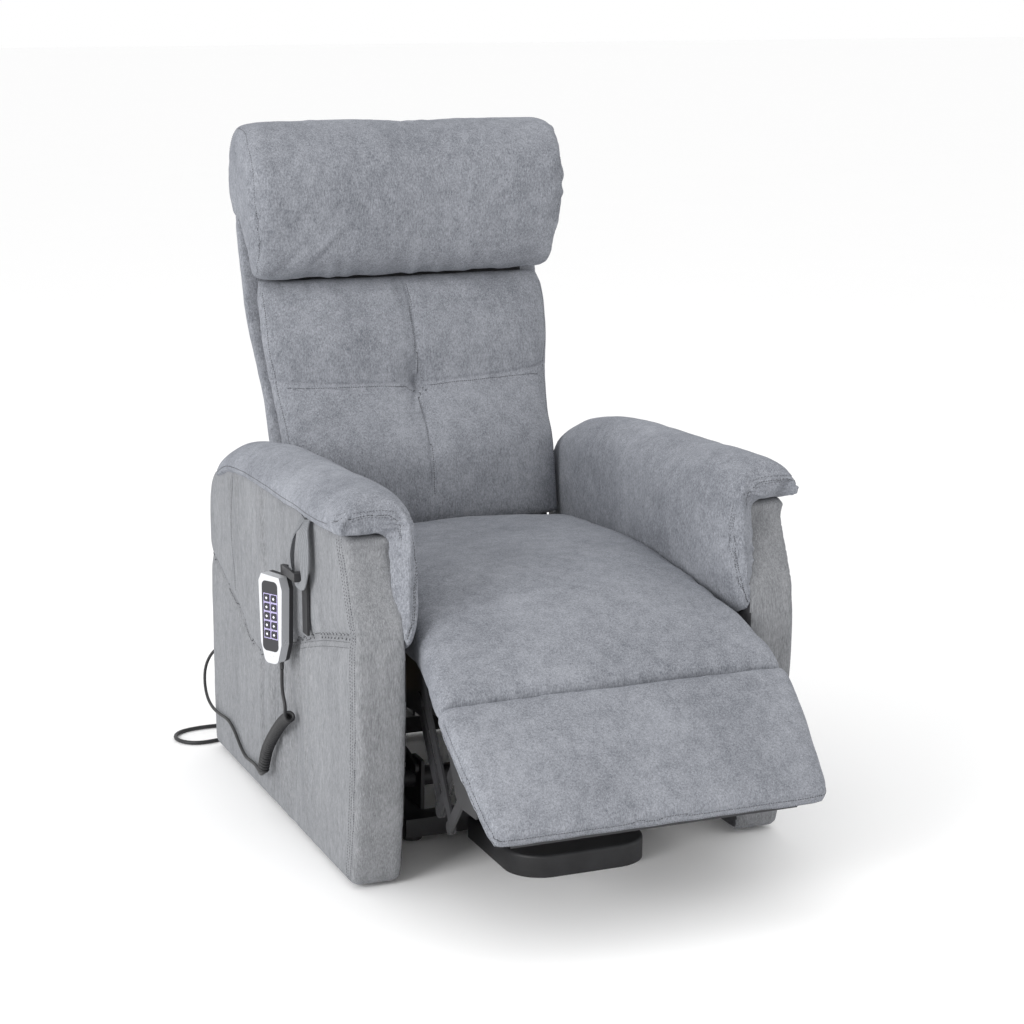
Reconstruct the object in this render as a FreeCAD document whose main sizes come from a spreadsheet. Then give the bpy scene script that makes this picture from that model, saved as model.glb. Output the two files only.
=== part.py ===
"""Lift recliner chair: a powered armchair whose seat rises and tips forward.

The chair faces -Y, +X is the sitter's left, +Z is up. The origin is on the floor,
on the middle plane, level with the fronts of the side panels. Millimetres and degrees.
"forward" in a comment or a name is a distance towards -Y.
"""
import FreeCAD, Part
import math
import os

import Sketcher
from FreeCAD import Placement, Rotation, Vector

sizes = {
    # outer sizes of the chair
    "overall_width": 730.0,
    "panel_depth": 773.0,
    "panel_thick": 82.0,
    "panel_gap": 7.0,
    "arm_seam_height": 546.0,
    "arm_pad_height": 90.0,
    "arm_pad_overhang": 9.0,
    "arm_pad_front": 20.0,
    "inner_pad_thick": 21.0,
    "head_top_height": 1105.0,
    "head_overhang": 12.0,
    "back_panel_gap": 3.0,
    "back_arm_gap": 7.0,
    "back_waist_height": 620.0,
    # seat
    "seat_rail_bottom": 270.0,
    "seat_rail_top": 333.0,
    "seat_rail_width": 24.0,
    "seat_front": 60.0,
    "seat_rear": 545.0,
    "seat_side_rail_front": 130.0,
    "seat_pad_gap": 4.0,
    "seat_pad_height": 102.0,
    "webbing_thick": 2.0,
    "webbing_width": 50.0,
    # floor base
    "base_length_rear": 712.0,
    "base_tube": 30.0,
    "base_rail_width": 40.0,
    "glide_height": 12.0,
    "glide_radius": 16.0,
    "foot_half_width": 115.0,
    "foot_front": 55.0,
    "foot_corner": 60.0,
    "foot_height": 36.0,
    "base_front_cross": 160.0,
    # steel mechanism: lanes side by side across the chair
    "lane_plate_inset": 52.0,
    "lane_pitch": 5.0,
    "link_thick": 4.0,
    "running_gap": 0.05,
    "pivot_radius": 6.0,
    "rivet_radius": 4.0,
    "link_radius": 10.0,
    "cross_tube_radius": 12.5,
    "drive_tube_radius": 12.0,
    # footrest
    "fold_forward": 157.0,
    "fold_height": 331.0,
    "footrest_slope": 38.7,
    "footrest_length": 232.0,
    "footrest_end_taper": 18.0,
    "footrest_pad_thick": 38.0,
    "footrest_board_thick": 12.0,
    "footrest_board_gap": 3.0,
    "rear_pivot_forward": -44.2,
    "rear_pivot_height": 275.2,
    "front_pivot_forward": -4.7,
    "front_pivot_height": 320.0,
    "rear_link_length": 173.4,
    "front_link_length": 228.5,
    "rear_fork_length": 160.0,
    "front_fork_length": 90.0,
    "crossing_on_front_link": 168.2,
    "crossing_on_rear_fork": 61.4,
    "rear_bracket_along": 34.9,
    "rear_bracket_below": 63.0,
    "front_bracket_along": 100.0,
    "front_bracket_below": 90.0,
    "crossing_play": 3.0,
    "rear_bracket_play": 2.7,
    "front_bracket_play": 5.0,
    "rear_link_angle": -56.42,
    "front_link_angle": -56.52,
    "rear_fork_angle": 53.97,
    "front_fork_angle": 48.98,
    # lift linkage
    "lift_pivot_rear": 240.0,
    "lift_pivot_height": 85.0,
    "lift_hanger_rear": 600.0,
    "lift_hanger_height": 125.0,
    "guide_pivot_rear": 212.8,
    "guide_pivot_height": 110.0,
    "guide_hanger_rear": 520.0,
    "guide_hanger_height": 171.4,
    "lift_arm_width": 30.0,
    "torque_tube_radius": 16.0,
    "lift_crank": 60.0,
    "lift_motor_inset": 12.0,
    "lift_motor_height": 75.0,
    "rod_end_play": 4.2,
    # back
    "recline_pivot_rear": 600.0,
    "recline_pivot_height": 330.0,
    "back_frame_thick": 22.0,
    "back_crank": 90.0,
    "back_crank_angle": -115.0,
    "back_motor_rear": 130.0,
    "back_motor_height": 220.0,
    # actuators
    "motor_lane": 100.0,
    "ram_radius": 9.0,
    "motor_tube_radius": 20.0,
    "footrest_crank": 65.0,
    "footrest_crank_angle": -78.8,
    "yoke_play": 2.8,
    # handset
    "handset_length": 143.0,
    "handset_top_width": 50.0,
    "handset_tip_width": 26.0,
    "handset_face_thick": 17.0,
    "handset_back_thick": 9.0,
    "handset_turn": -61.0,
    "handset_standoff": 31.0,
    "handset_rear": 252.0,
    "handset_bottom": 300.0,
    "button_size": 11.0,
    "button_gap": 0.35,
    "button_proud": 1.2,
    "button_depth": 3.6,
    "button_column_pitch": 15.0,
    "button_row_pitch": 14.5,
    "button_first_height": 47.0,
    "button_rows": 5.0,
    # cords
    "handset_cord_diameter": 5.5,
    "curl_diameter": 20.0,
    "mains_cord_diameter": 7.0,
    "coil_middle_diameter": 78.0,
    "coil_height": 15.0,
    "coil_band": 15.0,
}


class Size:
    """A number that keeps the expression it came from, so it can be bound."""

    def __init__(self, text, value):
        self.text = text
        self.value = value

    def __add__(self, other):
        other = as_size(other)
        return Size(f"({self.text} + {other.text})", self.value + other.value)

    def __sub__(self, other):
        other = as_size(other)
        return Size(f"({self.text} - {other.text})", self.value - other.value)

    def __mul__(self, other):
        other = as_size(other)
        return Size(f"({self.text} * {other.text})", self.value * other.value)

    def __truediv__(self, other):
        other = as_size(other)
        return Size(f"({self.text} / {other.text})", self.value / other.value)

    def __radd__(self, other):
        return as_size(other) + self

    def __rsub__(self, other):
        return as_size(other) - self

    def __rmul__(self, other):
        return as_size(other) * self

    def __neg__(self):
        return Size(f"(0 - {self.text})", -self.value)


def as_size(number):
    if isinstance(number, Size):
        return number
    return Size(f"({float(number)!r})", float(number))


doc = FreeCAD.newDocument("lift_recliner_chair")
sheet = doc.addObject("Spreadsheet::Sheet", "Sizes")
for row, (alias, number) in enumerate(sizes.items(), start=1):
    sheet.set(f"A{row}", alias)
    sheet.set(f"B{row}", str(number))
    sheet.setAlias(f"B{row}", alias)
doc.recompute()


class Named:
    """The sheet's sizes, one attribute for each alias."""

    def __getattr__(self, alias):
        return Size(f"Sizes.{alias}", float(sizes[alias]))


size = Named()
pieces = {}


# ---------------------------------------------------------------- modelling helpers

def new_body(label):
    body = doc.addObject("PartDesign::Body", label)
    body.Label = label
    return body


def keep(label, piece):
    """Registers a finished sub-part: its Label names its file."""
    piece.Label = label
    pieces[label] = piece
    return piece


def sketch_on(body, plane, height, name):
    """An empty sketch on one of the body's own planes, moved to a height along X, Y or Z."""
    sketch = body.newObject("Sketcher::SketchObject", name)
    support = [item for item in body.Origin.OriginFeatures if item.Role == f"{plane}_Plane"][0]
    sketch.AttachmentSupport = [(support, "")]
    sketch.MapMode = "FlatFace"
    offset = -as_size(height) if plane == "XZ" else as_size(height)
    sketch.AttachmentOffset = Placement(Vector(0, 0, offset.value), Rotation())
    sketch.setExpression(".AttachmentOffset.Base.z", offset.text)
    return sketch


def bind(sketch, kind, geometry, point, amount):
    amount = as_size(amount)
    constraint = Sketcher.Constraint(kind, -1, 1, geometry, point, amount.value)
    index = sketch.addConstraint(constraint)
    sketch.setExpression(f"Constraints[{index}]", amount.text)


def draw_polygon(sketch, points):
    corners = [(as_size(x), as_size(y)) for x, y in points]
    count = len(corners)
    first = sketch.GeometryCount
    for index in range(count):
        here = corners[index]
        after = corners[(index + 1) % count]
        start = Vector(here[0].value, here[1].value, 0)
        stop = Vector(after[0].value, after[1].value, 0)
        sketch.addGeometry(Part.LineSegment(start, stop))
    for index in range(count):
        following = first + (index + 1) % count
        sketch.addConstraint(Sketcher.Constraint("Coincident", first + index, 2, following, 1))
    for index, (x, y) in enumerate(corners):
        bind(sketch, "DistanceX", first + index, 1, x)
        bind(sketch, "DistanceY", first + index, 1, y)


def draw_circle(sketch, x, y, radius):
    x, y, radius = as_size(x), as_size(y), as_size(radius)
    circle = Part.Circle(Vector(x.value, y.value, 0), Vector(0, 0, 1), radius.value)
    index = sketch.addGeometry(circle)
    bind(sketch, "DistanceX", index, 3, x)
    bind(sketch, "DistanceY", index, 3, y)
    constraint = sketch.addConstraint(Sketcher.Constraint("Radius", index, radius.value))
    sketch.setExpression(f"Constraints[{constraint}]", radius.text)


def draw(sketch, shapes):
    for shape in shapes:
        if shape[0] == "circle":
            draw_circle(sketch, *shape[1:])
        else:
            draw_polygon(sketch, shape)


def pad(body, name, plane, low, high, shapes):
    """Solid between two heights along the plane's axis; low is the smaller one."""
    sketch = sketch_on(body, plane, low, f"{name}_sketch")
    draw(sketch, shapes)
    feature = body.newObject("PartDesign::Pad", name)
    feature.Profile = sketch
    length = as_size(high) - as_size(low)
    feature.Length = length.value
    feature.setExpression("Length", length.text)
    feature.Reversed = plane == "XZ"
    body.Tip = feature
    return feature


def cut(body, name, plane, low, high, shapes):
    """Removes the material between two heights, and checks that some went."""
    doc.recompute()
    before = body.Shape.Volume
    sketch = sketch_on(body, plane, low, f"{name}_sketch")
    draw(sketch, shapes)
    feature = body.newObject("PartDesign::Pocket", name)
    feature.Profile = sketch
    length = as_size(high) - as_size(low)
    feature.Length = length.value
    feature.setExpression("Length", length.text)
    feature.Reversed = plane != "XZ"
    body.Tip = feature
    doc.recompute()
    if body.Shape.Volume > before - 1e-3:
        raise RuntimeError(f"{name} cuts nothing from {body.Label}")
    return feature


def straight(edge):
    return isinstance(edge.Curve, Part.Line)


def runs_along(edge, axis):
    if not straight(edge):
        return False
    direction = edge.tangentAt(edge.FirstParameter)
    return abs(direction.dot(axis)) > 0.999


def fillet(body, name, radius, chosen):
    """Rounds the edges for which chosen(edge) is true."""
    doc.recompute()
    base = body.Tip
    names = [f"Edge{n}" for n, edge in enumerate(base.Shape.Edges, start=1) if chosen(edge)]
    if not names:
        raise RuntimeError(f"{name} finds no edge on {body.Label}")
    feature = body.newObject("PartDesign::Fillet", name)
    feature.Base = (base, names)
    radius = as_size(radius)
    feature.Radius = radius.value
    feature.setExpression("Radius", radius.text)
    body.Tip = feature
    return feature


ALONG_X = Vector(1, 0, 0)
ALONG_Y = Vector(0, 1, 0)
ALONG_Z = Vector(0, 0, 1)
SIDES = (("left", 1), ("right", -1))


def span(side, inner, outer):
    """The low and high X of something that reaches from inner to outer on one side."""
    if side > 0:
        return as_size(inner), as_size(outer)
    return -as_size(outer), -as_size(inner)


def set_in_side_view(body, forward, height, angle):
    """Puts a body drawn along -Y at a pivot and turns it up by an angle in the side view."""
    turn = Rotation(Vector(-1, 0, 0), as_size(angle).value)
    place = Vector(0, -as_size(forward).value, as_size(height).value)
    body.Placement = Placement(place, turn)


def compound(label, bodies):
    group = doc.addObject("Part::Compound", label)
    group.Links = bodies
    return keep(label, group)


# ---------------------------------------------------------------- lanes across the chair

panel_outer = size.overall_width / 2
panel_inner = panel_outer - size.panel_thick
plate_inner = panel_inner - size.lane_plate_inset
plate_outer = plate_inner + size.link_thick
arm_pad_inner = panel_inner - size.inner_pad_thick
lift_arm_outer = plate_inner - 11
lift_arm_inner = lift_arm_outer - size.lift_arm_width
guide_outer = lift_arm_inner - 2
guide_inner = guide_outer - 6
bracket_outer = guide_inner - 2
bracket_inner = bracket_outer - 6
rail_outer = lift_arm_outer
rail_inner = bracket_outer
back_half = panel_inner - size.back_panel_gap
back_waist_half = arm_pad_inner - size.back_arm_gap
head_half = back_half + size.head_overhang
handset_x = -panel_outer - size.handset_standoff
lift_motor_rear = size.base_length_rear - size.lift_motor_inset
rail_bottom = size.glide_height
rail_top = rail_bottom + size.base_tube


def lane_inner(number):
    """Inner face of a link lane; lane 1 lies against the mechanism plate."""
    return plate_inner + size.lane_pitch * number


def lane_outer(number):
    return lane_inner(number) + size.link_thick


# ---------------------------------------------------------------- floor base

def base_rails():
    for name, side in SIDES:
        body = new_body(f"base_rail_{name}")
        low, high = span(side, rail_inner, rail_outer)
        pad(body, f"rail_{name}", "YZ", low, high, [[
            (size.base_front_cross, rail_bottom),
            (size.base_length_rear, rail_bottom),
            (size.base_length_rear, rail_top),
            (size.base_front_cross, rail_top),
        ]])
        low, high = span(side, bracket_inner, bracket_outer)
        rear = size.lift_pivot_rear + 32
        front = size.guide_pivot_rear - 16
        pad(body, f"ear_{name}", "YZ", low, high, [
            [
                (size.base_front_cross + size.base_rail_width + 4, rail_bottom),
                (rear + 18, rail_bottom),
                (rear, size.lift_pivot_height + 12),
                (size.lift_pivot_rear, size.guide_pivot_height + 14),
                (front, size.guide_pivot_height + 14),
            ],
            ("circle", size.lift_pivot_rear, size.lift_pivot_height,
             size.torque_tube_radius + size.running_gap),
        ])
        low, high = span(side, bracket_inner, guide_outer)
        pad(body, f"guide_pin_{name}", "YZ", low, high, [
            ("circle", size.guide_pivot_rear, size.guide_pivot_height, size.pivot_radius),
        ])
        keep(f"base_rail_{name}", body)


def base_front_foot():
    """Low rounded foot at the front, with the cross member that ties the rails."""
    body = new_body("base_front_foot")
    pad(body, "foot_plate", "XY", 0, size.foot_height, [[
        (-size.foot_half_width, -size.foot_front),
        (size.foot_half_width, -size.foot_front),
        (size.foot_half_width, size.base_front_cross),
        (-size.foot_half_width, size.base_front_cross),
    ]])
    fillet(body, "foot_corners", size.foot_corner,
           lambda edge: runs_along(edge, ALONG_Z) and edge.CenterOfMass.y < 0)
    fillet(body, "foot_top_edge", 5,
           lambda edge: abs(edge.CenterOfMass.z - size.foot_height.value) < 0.1
           and edge.CenterOfMass.y < size.base_front_cross.value - 1)
    pad(body, "front_cross", "XY", rail_bottom, rail_top, [[
        (-rail_inner, size.base_front_cross),
        (rail_inner, size.base_front_cross),
        (rail_inner, size.base_front_cross + size.base_rail_width),
        (-rail_inner, size.base_front_cross + size.base_rail_width),
    ]])
    keep("base_front_foot", body)


def base_rear_cross():
    """Rear cross member with the two ears that hold the lift motor."""
    body = new_body("base_cross_rear")
    front = size.base_length_rear - size.base_rail_width
    pad(body, "rear_tube", "XY", rail_bottom, rail_top, [[
        (-rail_inner, front),
        (rail_inner, front),
        (rail_inner, size.base_length_rear),
        (-rail_inner, size.base_length_rear),
    ]])
    for name, side in SIDES:
        low, high = span(side, 16, 20)
        pad(body, f"motor_ear_{name}", "YZ", low, high, [[
            (front, rail_bottom),
            (size.base_length_rear, rail_bottom),
            (size.base_length_rear, size.lift_motor_height + 10),
            (front + 14, size.lift_motor_height + 10),
        ]])
    pad(body, "motor_pin", "YZ", -20, 20, [
        ("circle", lift_motor_rear, size.lift_motor_height, size.pivot_radius),
    ])
    keep("base_cross_rear", body)


def base_glides():
    places = []
    for side in (1, -1):
        middle = (rail_inner + rail_outer) / 2 * side
        places.append((middle, size.base_front_cross + 30))
        places.append((middle, size.base_length_rear - 30))
    bodies = []
    for number, (x, y) in enumerate(places, start=1):
        body = new_body(f"glide_{number}")
        pad(body, f"glide_disc_{number}", "XY", 0, size.glide_height, [
            ("circle", x, y, size.glide_radius),
        ])
        fillet(body, f"glide_edge_{number}", 2,
               lambda edge: abs(edge.CenterOfMass.z) < 0.1)
        bodies.append(body)
    compound("base_glides", bodies)


POWER_SUPPLY_X = (-170.0, -70.0)
POWER_SUPPLY_DEPTH = 88.0
POWER_SUPPLY_HEIGHT = 42.0


def power_supply():
    body = new_body("power_supply_box")
    pad(body, "supply_case", "XY", rail_top, rail_top + POWER_SUPPLY_HEIGHT, [[
        (POWER_SUPPLY_X[0], size.base_length_rear - POWER_SUPPLY_DEPTH),
        (POWER_SUPPLY_X[1], size.base_length_rear - POWER_SUPPLY_DEPTH),
        (POWER_SUPPLY_X[1], size.base_length_rear),
        (POWER_SUPPLY_X[0], size.base_length_rear),
    ]])
    fillet(body, "supply_edges", 5, lambda edge: runs_along(edge, ALONG_Z))
    keep("power_supply_box", body)


# ---------------------------------------------------------------- lift linkage

def lift_arms():
    """Each arm is drawn along +Y from its pivot and placed at the pivot."""
    rise = size.lift_hanger_height.value - size.lift_pivot_height.value
    reach = size.lift_hanger_rear.value - size.lift_pivot_rear.value
    length = as_size(math.hypot(rise, reach))
    angle = math.degrees(math.atan2(rise, reach))
    half = size.lift_arm_width / 2
    for name, side in SIDES:
        body = new_body(f"lift_arm_{name}")
        low, high = span(side, lift_arm_inner, lift_arm_outer)
        pad(body, f"arm_bar_{name}", "YZ", low, high, [
            [(0, -half), (length, -half), (length, half), (0, half)],
        ])
        pad(body, f"arm_front_{name}", "YZ", low, high, [("circle", 0, 0, half)])
        pad(body, f"arm_rear_{name}", "YZ", low, high, [("circle", length, 0, half)])
        cut(body, f"arm_hanger_hole_{name}", "YZ", low, high, [
            ("circle", length, 0, size.pivot_radius + size.running_gap),
        ])
        set_in_side_view(body, -size.lift_pivot_rear, size.lift_pivot_height, -angle)
        keep(f"lift_arm_{name}", body)


def lift_torque_tube():
    """Tube that ties the two arms and carries the crank of the lift motor."""
    body = new_body("lift_torque_tube")
    pad(body, "torque_tube", "YZ", -lift_arm_inner, lift_arm_inner, [
        ("circle", size.lift_pivot_rear, size.lift_pivot_height, size.torque_tube_radius),
    ])
    top = size.lift_pivot_height + size.lift_crank
    pad(body, "crank", "YZ", -6, 6, [[
        (size.lift_pivot_rear - 13, size.lift_pivot_height),
        (size.lift_pivot_rear + 13, size.lift_pivot_height),
        (size.lift_pivot_rear + 11, top + 11),
        (size.lift_pivot_rear - 11, top + 11),
    ]])
    pad(body, "crank_pin", "YZ", -18, 18, [
        ("circle", size.lift_pivot_rear, top, size.pivot_radius),
    ])
    keep("lift_torque_tube", body)


def lift_guides():
    rise = size.guide_hanger_height.value - size.guide_pivot_height.value
    reach = size.guide_hanger_rear.value - size.guide_pivot_rear.value
    length = as_size(math.hypot(rise, reach))
    angle = math.degrees(math.atan2(rise, reach))
    bodies = []
    for name, side in SIDES:
        body = new_body(f"guide_{name}")
        low, high = span(side, guide_inner, guide_outer)
        half = size.link_radius
        pad(body, f"guide_bar_{name}", "YZ", low, high, [
            [(0, -half), (length, -half), (length, half), (0, half)],
        ])
        pad(body, f"guide_front_{name}", "YZ", low, high, [("circle", 0, 0, half)])
        pad(body, f"guide_rear_{name}", "YZ", low, high, [("circle", length, 0, half + 2)])
        cut(body, f"guide_pivot_hole_{name}", "YZ", low, high, [
            ("circle", 0, 0, size.pivot_radius + size.running_gap),
        ])
        cut(body, f"guide_hanger_hole_{name}", "YZ", low, high, [
            ("circle", length, 0, size.pivot_radius + 2),
        ])
        set_in_side_view(body, -size.guide_pivot_rear, size.guide_pivot_height, -angle)
        bodies.append(body)
    compound("lift_guide_links", bodies)


# ---------------------------------------------------------------- actuators

def motor(label, length, lane, motor_start, motor_end, motor_up):
    """Motor, gearbox and outer tube, drawn along -Y from the rear pin."""
    body = new_body(label)
    tube = size.motor_tube_radius
    low = as_size(lane) - tube
    high = as_size(lane) + tube
    pad(body, f"{label}_tube", "YZ", low, high, [
        [(-22, -tube), (-22, tube), (-length, tube), (-length, -tube)],
    ])
    for name, side in SIDES:
        inner, outer = span(side, 6, 14)
        pad(body, f"{label}_eye_{name}", "YZ", as_size(lane) + inner, as_size(lane) + outer, [
            ("circle", 0, 0, 14),
            ])
        pad(body, f"{label}_eye_arm_{name}", "YZ", as_size(lane) + inner,
            as_size(lane) + outer, [[(-26, -13), (-26, 13), (0, 13), (0, -13)]])
    cut(body, f"{label}_pin_hole", "YZ", low, high, [
        ("circle", 0, 0, size.pivot_radius + size.running_gap),
    ])
    bottom, top = (0, 66) if motor_up else (-66, 0)
    pad(body, f"{label}_motor", "YZ", as_size(lane) - 31, as_size(lane) + 31, [
        [(-motor_start, bottom), (-motor_start, top), (-motor_end, top), (-motor_end, bottom)],
    ])
    fillet(body, f"{label}_motor_edges", 8,
           lambda edge: runs_along(edge, ALONG_Y)
           and abs(edge.CenterOfMass.z) > 60
           and abs(edge.Length - (motor_end - motor_start)) < 0.5)
    return body


def bore(body, label, lane, deep, length):
    """Blind bore of a motor's outer tube, open at its far end."""
    cut(body, f"{label}_bore", "XZ", -length, -deep, [
        ("circle", lane, 0, size.ram_radius + size.running_gap),
    ])


def ram(label, lane, start, length, play):
    """Sliding rod with a wide eye, drawn along -Y from the motor's rear pin."""
    body = new_body(label)
    pad(body, f"{label}_rod", "XZ", -length + 12, -start, [
        ("circle", lane, 0, size.ram_radius),
    ])
    low = as_size(lane) + 8
    high = as_size(lane) + 16
    reach = size.pivot_radius + play + 6
    pad(body, f"{label}_bridge", "YZ", as_size(lane) - 8, high, [
        [(-length + 24, -8), (-length + 24, 8), (-length + 36, 8), (-length + 36, -8)],
    ])
    pad(body, f"{label}_eye", "YZ", low, high, [("circle", -length, 0, reach)])
    pad(body, f"{label}_eye_arm", "YZ", low, high, [
        [(-length, -9), (-length, 9), (-length + 34, 9), (-length + 34, -9)],
    ])
    return body


def lift_actuator():
    rise = (size.lift_pivot_height + size.lift_crank - size.lift_motor_height).value
    reach = lift_motor_rear.value - size.lift_pivot_rear.value
    length = math.hypot(rise, reach)
    angle = math.degrees(math.atan2(rise, reach))
    housing = motor("lift_motor", 385, 0, 100, 190, True)
    bore(housing, "lift_motor", 0, 250, 385)
    set_in_side_view(housing, -lift_motor_rear, size.lift_motor_height, angle)
    keep("lift_motor", housing)
    rod = new_body("lift_ram")
    pad(rod, "lift_ram_rod", "XZ", -length + 48, -260, [("circle", 0, 0, size.ram_radius)])
    pad(rod, "lift_ram_bridge", "XZ", -length + 44, -length + 54, [
        [(-17, -9), (17, -9), (17, 9), (-17, 9)],
    ])
    reach = size.pivot_radius + size.rod_end_play + 6
    for name, side in SIDES:
        low, high = span(side, 9, 17)
        pad(rod, f"lift_ram_eye_{name}", "YZ", low, high, [("circle", -length, 0, reach)])
        pad(rod, f"lift_ram_arm_{name}", "YZ", low, high, [
            [(-length, -9), (-length, 9), (-length + 52, 9), (-length + 52, -9)],
        ])
    cut(rod, "lift_ram_hole", "YZ", -17, 17, [
        ("circle", -length, 0, size.pivot_radius + size.rod_end_play),
    ])
    set_in_side_view(rod, -lift_motor_rear, size.lift_motor_height, angle)
    keep("lift_ram", rod)


def back_crank_end():
    """Where the back motor pushes on the back frame, as (rear, height)."""
    turn = math.radians(size.back_crank_angle.value)
    rear = size.recline_pivot_rear.value - size.back_crank.value * math.cos(turn)
    height = size.recline_pivot_height.value + size.back_crank.value * math.sin(turn)
    return rear, height


def back_actuator():
    rear, height = back_crank_end()
    rise = height - size.back_motor_height.value
    reach = rear - size.back_motor_rear.value
    length = math.hypot(rise, reach)
    angle = 180 - math.degrees(math.atan2(rise, reach))
    housing = motor("back_motor", 400, size.motor_lane, 60, 140, True)
    bore(housing, "back_motor", size.motor_lane, 215, 400)
    set_in_side_view(housing, -size.back_motor_rear, size.back_motor_height, angle)
    keep("back_motor", housing)
    rod = ram("back_ram", size.motor_lane, 290, length, size.rod_end_play)
    cut(rod, "back_ram_hole", "YZ", size.motor_lane + 8, size.motor_lane + 16, [
        ("circle", -length, 0, size.pivot_radius + size.rod_end_play),
    ])
    set_in_side_view(rod, -size.back_motor_rear, size.back_motor_height, angle)
    keep("back_ram", rod)


FOOT_MOTOR_FRONT = 205.0
FOOT_MOTOR_REAR = 530.0


def footrest_pin():
    """Pin of the footrest crank at rest, as (rear, height)."""
    turn = math.radians(size.footrest_crank_angle.value)
    rear = -size.rear_pivot_forward.value - size.footrest_crank.value * math.cos(turn)
    height = size.rear_pivot_height.value + size.footrest_crank.value * math.sin(turn)
    return rear, height


def footrest_actuator():
    """Fixed motor whose ram pushes an upright slotted yoke."""
    pin_rear, pin_height = footrest_pin()
    lane = -size.motor_lane
    tube = size.motor_tube_radius
    axis = pin_height + 6
    housing = new_body("footrest_motor")
    pad(housing, "footrest_motor_tube", "YZ", lane - tube, lane + tube, [[
        (FOOT_MOTOR_FRONT, axis - 20), (FOOT_MOTOR_REAR, axis - 20),
        (FOOT_MOTOR_REAR, axis + 20), (FOOT_MOTOR_FRONT, axis + 20),
    ]])
    pad(housing, "footrest_motor_case", "YZ", lane - 31, lane + 31, [[
        (430, axis - 52), (FOOT_MOTOR_REAR, axis - 52),
        (FOOT_MOTOR_REAR, size.seat_rail_bottom), (500, size.seat_rail_bottom),
        (490, axis + 20), (430, axis + 20),
    ]])
    cut(housing, "footrest_motor_bore", "XZ", FOOT_MOTOR_FRONT, 400, [
        ("circle", lane, axis, size.ram_radius + size.running_gap),
    ])
    keep("footrest_motor", housing)
    rod = new_body("footrest_ram")
    low = lane + 8
    high = lane + 16
    pad(rod, "footrest_rod", "XZ", pin_rear + 22, 330, [
        ("circle", lane, axis, size.ram_radius),
    ])
    pad(rod, "footrest_bridge", "YZ", lane - 8, high, [[
        (pin_rear + 18, axis - 9), (pin_rear + 30, axis - 9),
        (pin_rear + 30, axis + 9), (pin_rear + 18, axis + 9),
    ]])
    slot_half = size.pivot_radius + size.yoke_play
    pad(rod, "footrest_yoke", "YZ", low, high, [
        [(pin_rear - 16, pin_height - 16), (pin_rear + 22, pin_height - 16),
         (pin_rear + 22, pin_height + 34), (pin_rear - 16, pin_height + 34)],
        [(pin_rear - slot_half, pin_height - 10), (pin_rear + slot_half, pin_height - 10),
         (pin_rear + slot_half, pin_height + 27), (pin_rear - slot_half, pin_height + 27)],
    ])
    keep("footrest_ram", rod)


# ---------------------------------------------------------------- seat mechanism

def mechanism_plates():
    """Steel side plate with the pivots of the footrest, the lift and the back."""
    pivot_rear = -size.rear_pivot_forward
    pivot_height = size.rear_pivot_height
    front_rear = -size.front_pivot_forward
    for name, side in SIDES:
        body = new_body(f"mechanism_plate_{name}")
        low, high = span(side, plate_inner, plate_outer)
        pad(body, f"plate_{name}", "YZ", low, high, [
            [
                (front_rear - 14, size.front_pivot_height + 13),
                (front_rear - 14, size.front_pivot_height - 12),
                (pivot_rear - 20, pivot_height - 18),
                (pivot_rear - 6, pivot_height - 26),
                (pivot_rear + 30, pivot_height - 26),
                (200, 238),
                (size.guide_hanger_rear - 90, size.guide_hanger_height + 24),
                (size.guide_hanger_rear - 18, size.guide_hanger_height - 18),
                (size.lift_hanger_rear - 17, size.lift_hanger_height - 16),
                (size.lift_hanger_rear + 17, size.lift_hanger_height - 16),
                (655, 150),
                (655, 182),
                (628, 204),
                (size.recline_pivot_rear + 20, size.recline_pivot_height + 16),
                (size.recline_pivot_rear - 18, size.recline_pivot_height + 20),
                (size.seat_rear, size.seat_rail_top),
            ],
            ("circle", pivot_rear, pivot_height,
             size.drive_tube_radius + size.running_gap),
        ])
        low, high = span(side, plate_inner, lane_outer(3))
        pad(body, f"front_pivot_{name}", "YZ", low, high, [
            ("circle", front_rear, size.front_pivot_height, size.pivot_radius),
        ])
        low, high = span(side, lift_arm_inner, plate_outer)
        pad(body, f"lift_hanger_{name}", "YZ", low, high, [
            ("circle", size.lift_hanger_rear, size.lift_hanger_height, size.pivot_radius),
        ])
        low, high = span(side, guide_inner, plate_outer)
        pad(body, f"guide_hanger_{name}", "YZ", low, high, [
            ("circle", size.guide_hanger_rear, size.guide_hanger_height, size.pivot_radius),
        ])
        low, high = span(side, plate_inner, lane_outer(1))
        pad(body, f"recline_pivot_{name}", "YZ", low, high, [
            ("circle", size.recline_pivot_rear, size.recline_pivot_height,
             size.pivot_radius),
        ])
        keep(f"mechanism_plate_{name}", body)


def cross_tubes():
    bodies = []
    for name, rear, height in (("front", 110, 266), ("rear", 640, 165)):
        body = new_body(f"cross_tube_{name}")
        pad(body, f"tube_{name}", "YZ", -plate_inner, plate_inner, [
            ("circle", rear, height, size.cross_tube_radius),
            ("circle", rear, height, size.cross_tube_radius - 2),
        ])
        bodies.append(body)
    ear = bodies[0]
    for name, side in SIDES:
        low, high = span(side, 16, 20)
        pad(ear, f"back_motor_ear_{name}", "YZ", size.motor_lane + low,
            size.motor_lane + high, [[
                (100, 258), (122, 258),
                (size.back_motor_rear + 11, size.back_motor_height + 4),
                (size.back_motor_rear + 11, size.back_motor_height - 11),
                (size.back_motor_rear - 11, size.back_motor_height - 11),
            ]])
    pad(ear, "back_motor_pin", "YZ", size.motor_lane - 20, size.motor_lane + 20, [
        ("circle", size.back_motor_rear, size.back_motor_height, size.pivot_radius),
    ])
    compound("mechanism_cross_tubes", bodies)


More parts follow.
